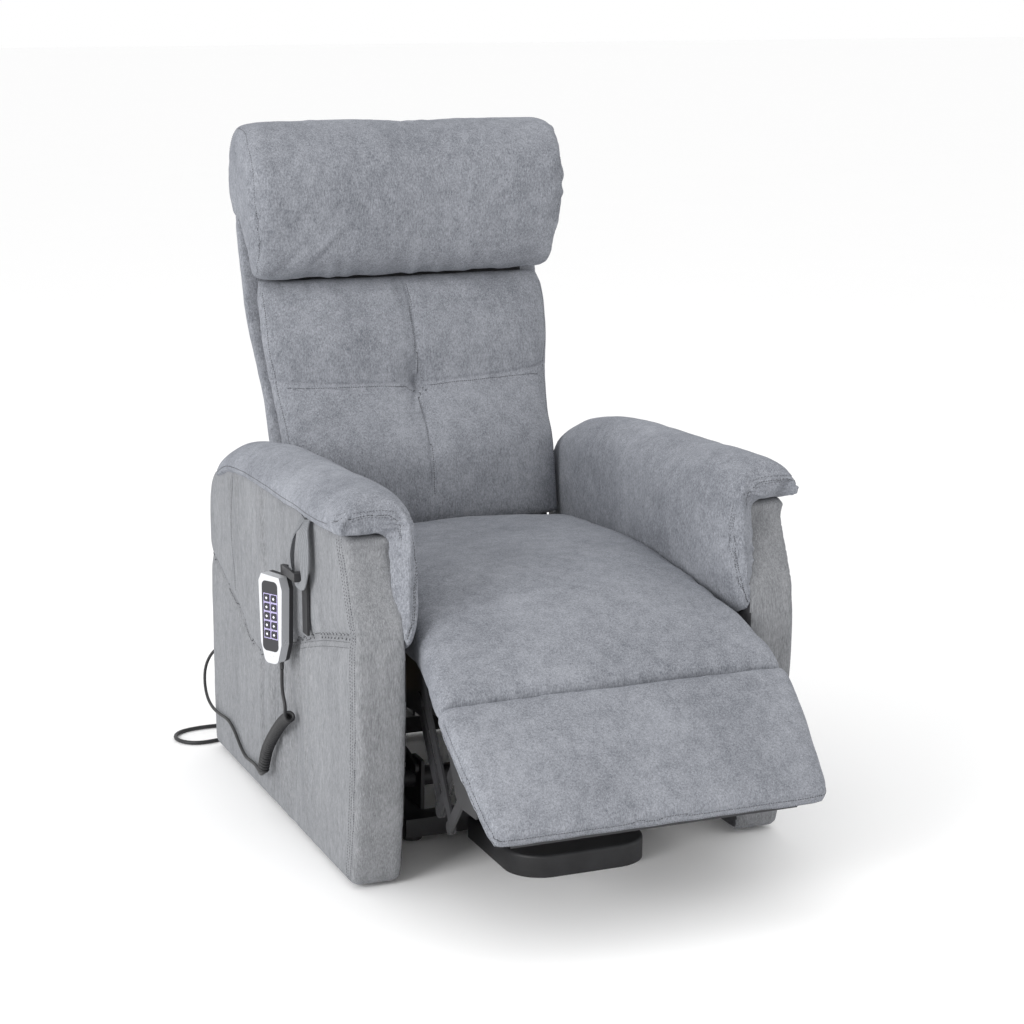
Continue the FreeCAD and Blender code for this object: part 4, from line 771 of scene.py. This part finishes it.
def footrest_rings():
    stations = [
        # along, crown, edge of top, bottom, half width
        (0.002, .000, -.004, -.034, .281),
        (0.018, .007, .002, -.037, .282),
        (0.06, .011, .004, -.038, .281),
        (0.12, .012, .004, -.038, .276),
        (0.18, .008, .002, -.038, .270),
        (0.214, .003, -.001, -.038, .266),
        (0.226, -.003, -.006, -.036, .262),
        (0.231, -.010, -.012, -.030, .257),
    ]
    rings = []
    for along, crown, edge, bottom, half in curve_through(stations, 5):
        keys = [(0, crown), (half * .5, crown - (crown - edge) * .2),
                (half * .85, crown - (crown - edge) * .6), (half - .010, edge),
                (half - .001, edge - .009), (half, (edge + bottom) / 2),
                (half - .002, bottom + .008),
                (half - .014, bottom), (half * .5, bottom)]
        keys += [(0, bottom)] + [(-x, n) for x, n in keys[:0:-1]]
        rings.append([on_slope(x, along, n) for x, n in curve_through(keys, 4, closed=True)])
    return rings


def footrest_edge(rise, grow=0.0):
    """The line round the free end of the footrest at a height off the slope."""
    half = 0.264 + grow
    return [on_slope(-0.281 - grow, 0.02, rise), on_slope(-0.272 - grow, 0.16, rise),
            on_slope(-half, 0.212, rise), on_slope(-half + 0.012, 0.228 + grow, rise),
            on_slope(0, 0.232 + grow, rise), on_slope(half - 0.012, 0.228 + grow, rise),
            on_slope(half, 0.212, rise), on_slope(0.272 + grow, 0.16, rise),
            on_slope(0.281 + grow, 0.02, rise)]


def footrest_cloth(places, normals):
    move = 0.0018 * lumps(places, 0.11, 51) + 0.0008 * lumps(places, 0.035, 52)
    fold = [tuple(on_slope(-0.285, 0, 0.002)), tuple(on_slope(0.285, 0, 0.002))]
    move += 0.5 * gathered(places, fold, 0.03, 0.002, 0.014, 53)
    upper = [tuple(point) for point in footrest_edge(-0.011)]
    lower = [tuple(point) for point in footrest_edge(-0.029)]
    move += sewn(places, upper, 0.0022, 0.0012) + sewn(places, lower, 0.0022, 0.001)
    return move


def seat_and_footrest():
    seat = upholstered("seat_cover", seat_rings(), None, [seat_cloth], ["seat_cushion"],
                       voxel=0.006, swell=0.003)
    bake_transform(seat)
    pad = upholstered("footrest_cover", footrest_rings(), "footrest", [footrest_cloth],
                      ["footrest_pad"], voxel=0.005)
    edges = [[tuple(point) for point in footrest_edge(rise, 0.002)] for rise in (-0.011, -0.029)]
    # Dark lines round the two edge seams of the footrest: painted shade in the seams.
    seam_shade_line("footrest_seam_shade", pad, edges, "footrest")


# ---------------------------------------------------------------- back

BACK_FRONT = [(.400, .607), (.46, .610), (.54, .622), (.604, .660), (.65, .681), (.70, .694),
              (.74, .705), (.78, .722), (.81, .736), (.826, .756), (.835, .774)]
BACK_SIDE = [(.400, .640), (.46, .648), (.54, .664), (.584, .688), (.649, .716), (.735, .736),
             (.79, .750), (.835, .776)]
BACK_BOARD = [(.400, .670), (.836, .791)]
SEAM_LEVEL = 0.655


def back_half(height):
    """Half width of the back at a height: narrow between the arms."""
    return 0.2535 + 0.0175 * ease(height, 0.54, 0.74)


def back_rings():
    rings = []
    for height in np.linspace(0.403, 0.834, 36):
        front = profile(height, BACK_FRONT)
        side = profile(height, BACK_SIDE)
        board = np.interp(height, *zip(*BACK_BOARD)) - 0.0015
        half = float(back_half(height)) - 0.006 * float(ease(height, 0.815, 0.836))
        keys = [(0, front), (half * .45, front + (side - front) * .10),
                (half * .78, front + (side - front) * .38),
                (half * .94, front + (side - front) * .78),
                (half - .001, side + .006), (half - .002, board - .008), (half - .012, board),
                (half * .5, board)]
        keys += [(0, board)] + [(-x, y) for x, y in keys[:0:-1]]
        rings.append([(x, y, height) for x, y in curve_through(keys, 4, closed=True)])
    return rings


def back_cloth(places, normals):
    face = np.clip(-normals[:, 1] * 1.4, 0, 1)
    x, z = places[:, 0], places[:, 2]
    move = 0.0024 * lumps(places, 0.12, 61) + 0.0009 * lumps(places, 0.035, 62)
    level = SEAM_LEVEL + 0.012 * (x / 0.27) ** 2
    across = np.abs(z - level)
    upright = np.abs(x + 0.0015 * np.sin(z * 40))
    lower = ease(z, 0.44, 0.50)
    move += face * (dent(across, 0.0026, 0.0026) + dent(across, 0.03, 0.005))
    move += face * lower * (dent(upright, 0.003, 0.0034) + dent(upright, 0.022, 0.005))
    tuft = np.hypot(x, z - SEAM_LEVEL)
    move += face * (dent(tuft, 0.010, 0.009) + dent(tuft, 0.036, 0.011))
    turn = np.arctan2(z - SEAM_LEVEL, x)
    fan = np.stack([np.cos(turn) * 3.1, np.sin(turn) * 3.1, tuft * 5], axis=1)
    move += face * 0.004 * lumps(fan, 1.0, 63) * np.exp(-tuft / 0.05) * ease(tuft, 0.004, 0.02)
    for quarter_x, quarter_z in product((-0.135, 0.135), (0.56, 0.745)):
        puff = ((x - quarter_x) / 0.10) ** 2 + ((z - quarter_z) / 0.06) ** 2
        move += 0.003 * face * np.exp(-puff)
    top = [(-0.27, 0.770, 0.832), (0, 0.756, 0.830), (0.27, 0.770, 0.832)]
    move += face * gathered(places, top, 0.03, 0.0026, 0.015, 64)
    return move


HEAD_SECTION = [(.752, .834), (.728, .858), (.717, .900), (.711, .960), (.713, 1.015),
                (.726, 1.062), (.752, 1.094), (.792, 1.1045), (.832, 1.096), (.858, 1.066),
                (.864, 1.020), (.860, .975), (.850, .938), (.822, .925), (.795, .860), (.778, .834)]


def head_rings():
    section = np.array(HEAD_SECTION)
    centre = np.array([.787, .972])
    rings = []
    for across, size in ((-.290, .70), (-.2915, .84), (-.2905, .925), (-.285, .968), (-.272, .99),
                         (-.20, 1.0), (-.10, 1.0), (0, 1.0), (.10, 1.0), (.20, 1.0),
                         (.272, .99), (.285, .968), (.2905, .925), (.2915, .84), (.290, .70)):
        bow = 1 - 0.02 * (1 - (across / 0.29) ** 2)
        ring = centre + (section - centre) * size
        ring[:, 0] = np.where(ring[:, 0] < .76,
                              ring[:, 0] + 0.006 * (1 - bow) / 0.02 - 0.006, ring[:, 0])
        rings.append([(across * (0.955 + 0.045 * float(ease(z, 0.83, 1.0))), y, z)
                      for y, z in curve_through(ring, 5, closed=True)])
    return rings


def head_gusset(side):
    """The seam round the end of the head cushion."""
    return [(side * .272, .750, .845), (side * .277, .722, .90), (side * .284, .717, .98),
            (side * .284, .732, 1.05), (side * .283, .765, 1.088), (side * .283, .82, 1.088),
            (side * .284, .85, 1.045)]


def head_cloth(places, normals):
    x, y, z = places.T
    move = 0.0034 * lumps(places, (0.11, 0.09, 0.07), 71) + 0.0012 * lumps(places, 0.035, 72)
    for side in (1, -1):
        line = curve_through(head_gusset(side), 5)
        move += sewn(places, line, 0.0042, 0.003)
        move += gathered(places, line, 0.022, 0.0036, 0.015, 73 + side)
    bottom = [(-.285, .745, .835), (0, .745, .833), (.285, .745, .835)]
    move += gathered(places, bottom, 0.035, 0.004, 0.017, 75)
    low_left = np.exp(-(((x + .20) / .09) ** 2 + ((z - .90) / .06) ** 2))
    slant = np.stack([(x + z) / 0.11, (z - x) / 0.018, y * 0], axis=1)
    move += 0.003 * low_left * lumps(slant, 1.0, 76)
    top = np.exp(-((z - 1.085) / 0.03) ** 2) * (y < .80)
    move += 0.0022 * top * lumps(places, (0.016, 0.2, 0.2), 77)
    return move


SHELL_REAR = [(.387, .736), (.392, .742), (.52, .776), (.68, .812), (.80, .841), (.90, .865),
              (.945, .874), (.965, .868), (.971, .856)]


def shell_rings():
    rings = []
    for height in np.concatenate([np.linspace(0.387, 0.93, 30), np.linspace(0.94, 0.971, 6)]):
        front = 0.660 + (0.158 / 0.568) * (height - 0.362) + 0.0235
        rear = profile(height, SHELL_REAR)
        front = min(front, rear - 0.012)
        half = (float(0.2535 + 0.0255 * ease(height, 0.57, 0.80))
                - 0.012 * float(ease(height, 0.94, 0.971)))
        keys = [(0, front), (half * .6, front), (half - .006, front + .002), (half, front + .010),
                (half, (front + rear) / 2), (half - .003, rear - .010), (half - .012, rear - .002),
                (half * .6, rear)]
        keys += [(0, rear)] + [(-x, y) for x, y in keys[:0:-1]]
        rings.append([(x, y, height) for x, y in curve_through(keys, 4, closed=True)])
    return rings


def shell_cloth(places, normals):
    rear = np.clip(normals[:, 1] * 1.4, 0, 1)
    x, z = places[:, 0], places[:, 2]
    move = 0.0016 * lumps(places, 0.14, 81) + 0.0007 * lumps(places, 0.04, 82)
    hem = np.abs(z - 0.415)
    yoke = np.abs(z - 0.93)
    move += rear * (dent(hem, 0.003, 0.0025) + dent(yoke, 0.0035, 0.003))
    for side in (1, -1):
        edge = [(side * .281, .70, .40), (side * .281, .76, .60), (side * .281, .83, .80),
                (side * .281, .868, .95)]
        move += 0.7 * sewn(places, curve_through(edge, 5), 0.003, 0.001)
    move += rear * 0.003 * np.exp(-((z - 0.68) / 0.2) ** 2 - (x / 0.2) ** 2)
    return move


def back_group():
    cushion = upholstered("back_cover", back_rings(), "back", [back_cloth], ["back_cushion"],
                          voxel=0.006, swell=0.003)
    level = [(x, 0.67, SEAM_LEVEL + 0.012 * (x / 0.27) ** 2) for x in np.linspace(-0.256, 0.256, 9)]
    upright = [(0, profile(z, BACK_FRONT), z) for z in np.linspace(0.46, 0.825, 10)]
    gusset = [[(side * (back_half(z) - 0.008), profile(z, BACK_SIDE) - 0.006, z)
               for z in np.linspace(0.45, 0.82, 9)] for side in (1, -1)]
    # Dark lines along the back cushion seams: painted shade in the seams.
    seam_shade_line("back_seam_shade", cushion, [level, upright] + gusset, "back")
    head = upholstered("head_cover", head_rings(), "back", [head_cloth], ["head_cushion"],
                       voxel=0.006, swell=0.004)
    # Dark lines along the head cushion gusset seams: painted shade in the seams.
    seam_shade_line("head_seam_shade", head, [head_gusset(side) for side in (1, -1)], "back")
    shell = upholstered("shell_cover", shell_rings(), "back", [shell_cloth], ["back_shell"],
                        voxel=0.0075)
    rows = [[(x, 0.90, z) for x in np.linspace(-0.26, 0.26, 5)] for z in (0.421, 0.409)]
    stitches("shell_stitching", shell, rows, "back")


# ---------------------------------------------------------------- small cloth and board pieces

STRAP_PATH = [
    # place, half width, lean of the width out of the wall's plane
    ((-.372, .166, .5435), .013, 0), ((-.379, .163, .528), .015, .1),
    ((-.3815, .160, .50), .017, .2), ((-.3815, .158, .470), .016, .1),
    ((-.3815, .163, .446), .010, 0), ((-.3815, .180, .4375), .006, 0),
    ((-.3815, .203, .4395), .006, 0), ((-.3825, .2135, .455), .006, .6),
    ((-.3845, .210, .485), .006, .9), ((-.383, .199, .515), .007, .6),
    ((-.378, .190, .532), .008, .2), ((-.372, .186, .5435), .009, 0)]


def handset_strap():
    """Webbing loop sewn under the arm, hung round the crook of the handset."""
    path = curve_through([place for place, _, _ in STRAP_PATH], 6)
    widths = curve_through([(half, lean) for _, half, lean in STRAP_PATH], 6)
    rings = []
    for index, (here, (half, lean)) in enumerate(zip(path, widths)):
        run = path[min(index + 1, len(path) - 1)] - path[max(index - 1, 0)]
        run = run / np.linalg.norm(run)
        across = np.cross(run, (1, 0, 0))
        across = across / np.linalg.norm(across)
        across = across * math.cos(lean) + np.array((1, 0, 0)) * math.sin(lean)
        thick = np.cross(across, run) * 0.0009
        rings.append([here + across * half + thick, here - across * half + thick,
                      here - across * half - thick, here + across * half - thick])
    strap = skinned("strap_loop", rings)
    strap.data.materials.append(STRAP_CLOTH)
    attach(strap, "chassis")
    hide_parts("handset_strap")


def seat_webbing():
    """Five elastic straps from the front rail to the rear one, each sagging a little."""
    for number in range(-2, 3):
        middle = 0.085 * number
        rings = []
        for share in np.linspace(0, 1, 25):
            y = 0.060 + 0.485 * share
            z = 0.3340 - 0.012 * math.sin(math.pi * share) ** 2
            rings.append([(middle - 0.024, y, z - 0.0008), (middle + 0.024, y, z - 0.0008),
                          (middle + 0.024, y, z + 0.0008), (middle - 0.024, y, z + 0.0008)])
        strap = skinned(f"seat_strap_{number + 3}", rings)
        strap.data.materials.append(LINING)
        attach(strap, "chassis")
        if number == 0:
            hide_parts("seat_webbing")


def board(name, low, high, body, slot, look, soften=0.0008):
    """A plain thin piece between two corners, with softened edges."""
    bpy.ops.mesh.primitive_cube_add(size=1)
    piece = bpy.context.active_object
    piece.name = name
    for vertex in piece.data.vertices:
        vertex.co = [lo if part < 0 else hi for part, lo, hi in zip(vertex.co, low, high)]
    apply_modifier(piece, "BEVEL", width=soften, segments=2)
    piece.data.materials.append(look)
    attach(piece, body)
    return piece


def closing_pieces():
    board("rear_closing_board", (-.2825, .7645, .100), (.2825, .7675, .290),
          "chassis", "timber", LINING)
    board("arm_pull_tab", (.3760, .016, .552), (.3790, .034, .578),
          "chassis", "webbing", STRAP_CLOTH)


# ---------------------------------------------------------------- cords

def millimetres(points):
    return [Vector(point) / 1000 for point in points]


HANDSET_LEAD = millimetres([
    (-392, 252, 286), (-391, 258, 264), (-389, 261, 243), (-387, 254, 224), (-385.5, 238, 212)])
CURL = millimetres([
    (-385.5, 238, 212), (-385, 272, 196), (-385, 312, 167), (-385, 350, 137),
    (-385, 380, 106), (-385, 394, 76)])
HANDSET_TAIL = millimetres([
    (-385, 394, 76), (-384, 407, 62), (-379, 436, 55), (-374, 474, 56), (-372.5, 510, 52),
    (-372, 546, 48), (-372, 580, 59), (-372, 612, 76), (-372, 652, 85), (-373, 704, 79),
    (-374, 748, 79), (-374, 782, 88), (-372, 806, 108), (-366, 822, 134), (-352, 826, 158),
    (-336, 816, 172), (-325, 798, 177), (-322, 781, 177)])
MAINS = millimetres([
    (-120, 738, 63), (-121, 768, 60), (-127, 796, 47), (-141, 820, 28), (-163, 838, 12),
    (-195, 846, 4), (-235, 842, 4), (-280, 824, 4), (-322, 802, 4), (-360, 786, 4),
    (-394, 784, 4), (-416, 800, 4), (-424, 826, 4), (-416, 852, 4), (-393, 868, 4),
    (-352, 874, 4), (-300, 868, 4), (-240, 866, 4), (-180, 874, 4), (-120, 872, 4),
    (-65, 862, 4), (-20, 850, 4), (22, 844, 4)])
COIL_CENTRE = Vector((0.028, 0.805, 0))
HANDSET_CORD = 0.0055
CURL_ACROSS = 0.020
MAINS_CORD = 0.007


def free_curve(name, points, thickness):
    """One smooth round cord through a list of control points."""
    line = bpy.data.curves.new(name, "CURVE")
    line.dimensions = "3D"
    line.bevel_depth = thickness / 2
    line.bevel_resolution = 3
    line.resolution_u = 4
    line.use_fill_caps = True
    spline = line.splines.new("NURBS")
    spline.points.add(len(points) - 1)
    for control, point in zip(spline.points, points):
        control.co = (*point, 1)
    spline.order_u = 3
    spline.use_endpoint_u = True
    cord = bpy.data.objects.new(name, line)
    bpy.context.collection.objects.link(cord)
    return cord


def line_of(points):
    """Points along the smooth line that a list of control points gives."""
    guide = free_curve("guide", points, 0)
    guide.data.bevel_depth = 0
    bpy.context.view_layer.update()
    mesh = bpy.data.meshes.new_from_object(guide)
    found = [vertex.co.copy() for vertex in mesh.vertices]
    curve = guide.data
    bpy.data.objects.remove(guide)
    bpy.data.curves.remove(curve)
    bpy.data.meshes.remove(mesh)
    return found


def length_of(line):
    return sum((after - before).length for before, after in zip(line, line[1:]))


def helix(route, across, pitch, per_turn=12):
    """Control points of a curl wound round a route."""
    line = line_of(route)
    gone = [0.0]
    for before, after in zip(line, line[1:]):
        gone.append(gone[-1] + (after - before).length)
    last = int(gone[-1] / pitch) * per_turn + per_turn // 2
    found = []
    for step in range(last + 1):
        place = gone[-1] * step / last
        index = min(max(np.searchsorted(gone, place) - 1, 0), len(line) - 2)
        share = (place - gone[index]) / (gone[index + 1] - gone[index])
        here = line[index].lerp(line[index + 1], share)
        forward = (line[index + 1] - line[index]).normalized()
        side = forward.cross(Vector((1, 0, 0))).normalized()
        other = side.cross(forward).normalized()
        turn = 2 * math.pi * (step / per_turn - 0.25)
        found.append(here + across * (side * math.cos(turn) + other * math.sin(turn)))
    return found


def handset_cord():
    """Plain lead, curl and plain tail as one cord; its top starts at the handset."""
    curl = helix(CURL, (CURL_ACROSS - HANDSET_CORD) / 2 / math.cos(math.pi / 12), 0.0068)
    points = HANDSET_LEAD[:-1] + curl + HANDSET_TAIL[1:]
    line = line_of(points)
    cord = free_curve("handset_cord", points, HANDSET_CORD)
    only(cord)
    bpy.ops.object.convert(target="MESH")
    cord = bpy.context.view_layer.objects.active
    cord.data.materials.clear()
    cord.data.materials.append(RUBBER)
    cord.data.shade_smooth()
    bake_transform(cord)
    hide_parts("handset_cord_lead", "handset_cord_curl", "handset_cord_tail")
    print(f"handset cord {length_of(line):.3f} m")


def coil_points():
    """Two turns on the floor and two on top of them, ending towards the plug."""
    found = []
    per_turn = 14
    lanes = [(0.0425, 0.0041), (0.0355, 0.0041), (0.0355, 0.0111), (0.0425, 0.0111)]
    start = math.radians(86)
    for step in range(4 * per_turn):
        place = step / per_turn
        lane = int(place)
        near = min(lane + 1, 3)
        mix = max(0.0, (place - lane - 0.8) / 0.2)
        radius = lanes[lane][0] * (1 - mix) + lanes[near][0] * mix
        height = lanes[lane][1] * (1 - mix) + lanes[near][1] * mix
        turn = start - 2 * math.pi * place
        found.append(COIL_CENTRE
                     + Vector((radius * math.cos(turn), radius * math.sin(turn), height)))
    return found


def mains_cord():
    low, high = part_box("mains_plug")
    entry = Vector((low.x, (low.y + high.y) / 2, 0.015))
    points = MAINS[:-1] + coil_points() + [entry - Vector((0.012, 0, 0.001)), entry]
    line = line_of(points)
    cord = free_curve("mains_lead", points, MAINS_CORD)
    cord.data.materials.append(RUBBER)
    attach(cord, "base")
    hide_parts("mains_cord", "mains_cord_coil")
    print(f"mains cord {length_of(line):.3f} m")


# ---------------------------------------------------------------- finishes of the CAD nodes

def paint_nodes():
    looks = {
        "lift_ram": ROD_STEEL, "back_ram": ROD_STEEL, "footrest_ram": ROD_STEEL,
        "seat_side_rails": PLYWOOD, "seat_end_rails": PLYWOOD, "footrest_board": LINING,
        "back_frame": LINING, "seat_webbing": LINING, "handset_strap": STRAP_CLOTH,
        "power_supply_box": BLACK_PLASTIC, "mains_plug": BLACK_PLASTIC,
        "base_glides": BLACK_PLASTIC, "lift_motor": BLACK_PLASTIC, "back_motor": BLACK_PLASTIC,
        "footrest_motor": BLACK_PLASTIC, "handset_cord_inlet": RUBBER,
        "mains_strain_relief": RUBBER, "handset_face": HANDSET_FRONT, "handset_back": BLACK_PLASTIC,
    }
    for name, node in NODES.items():
        look = looks.get(name, KEY_CAP if name.startswith("handset_button") else BLACK_STEEL)
        node.data.materials.clear()
        node.data.materials.append(look)


# ---------------------------------------------------------------- studio

def studio():
    bpy.ops.mesh.primitive_plane_add(size=90, location=(0, 0, 0))
    floor = bpy.context.active_object
    floor.name = "floor"
    paper = Recipe("studio_floor")
    tone = paper.clouds(paper.place(), 2.0)
    floor.data.materials.append(paper.surface(
        Base_Color=paper.blend(tone, (0.97, 0.97, 0.97), (0.98, 0.98, 0.98)), Roughness=0.95))
    world = bpy.data.worlds.new("studio")
    bpy.context.scene.world = world
    world.use_nodes = True
    world.node_tree.nodes["Background"].inputs[0].default_value = (1, 1, 1, 1)
    world.node_tree.nodes["Background"].inputs[1].default_value = 1.0
    for name, place, power, size in (
            ("key", (-4.2, -2.0, 2.0), 150, 2.0), ("fill", (2.0, -3.8, 1.6), 10, 2.6),
            ("top", (0.2, 0.6, 3.6), 14, 2.4)):
        lamp = bpy.data.lights.new(name, "AREA")
        lamp.energy = power
        lamp.size = size
        light = bpy.data.objects.new(name, lamp)
        light.location = place
        aim = Vector((0, 0.25, 0.5)) - Vector(place)
        light.rotation_euler = aim.to_track_quat("-Z", "Y").to_euler()
        bpy.context.collection.objects.link(light)
    bpy.context.scene.view_settings.view_transform = "Standard"


def camera():
    lens = bpy.data.cameras.new("camera")
    lens.lens = 84.27
    lens.sensor_width = 36
    eye = bpy.data.objects.new("camera", lens)
    eye.location = (-1.435, -3.242, 1.348)
    eye.rotation_euler = (math.radians(90 - 12.56), 0, math.radians(-22.32))
    bpy.context.collection.objects.link(eye)
    bpy.context.scene.camera = eye


camera()
studio()
paint_nodes()
handset_cord()
mains_cord()
side_panels()
arm_pads()
seat_and_footrest()
back_group()
handset_strap()
seat_webbing()
closing_pieces()
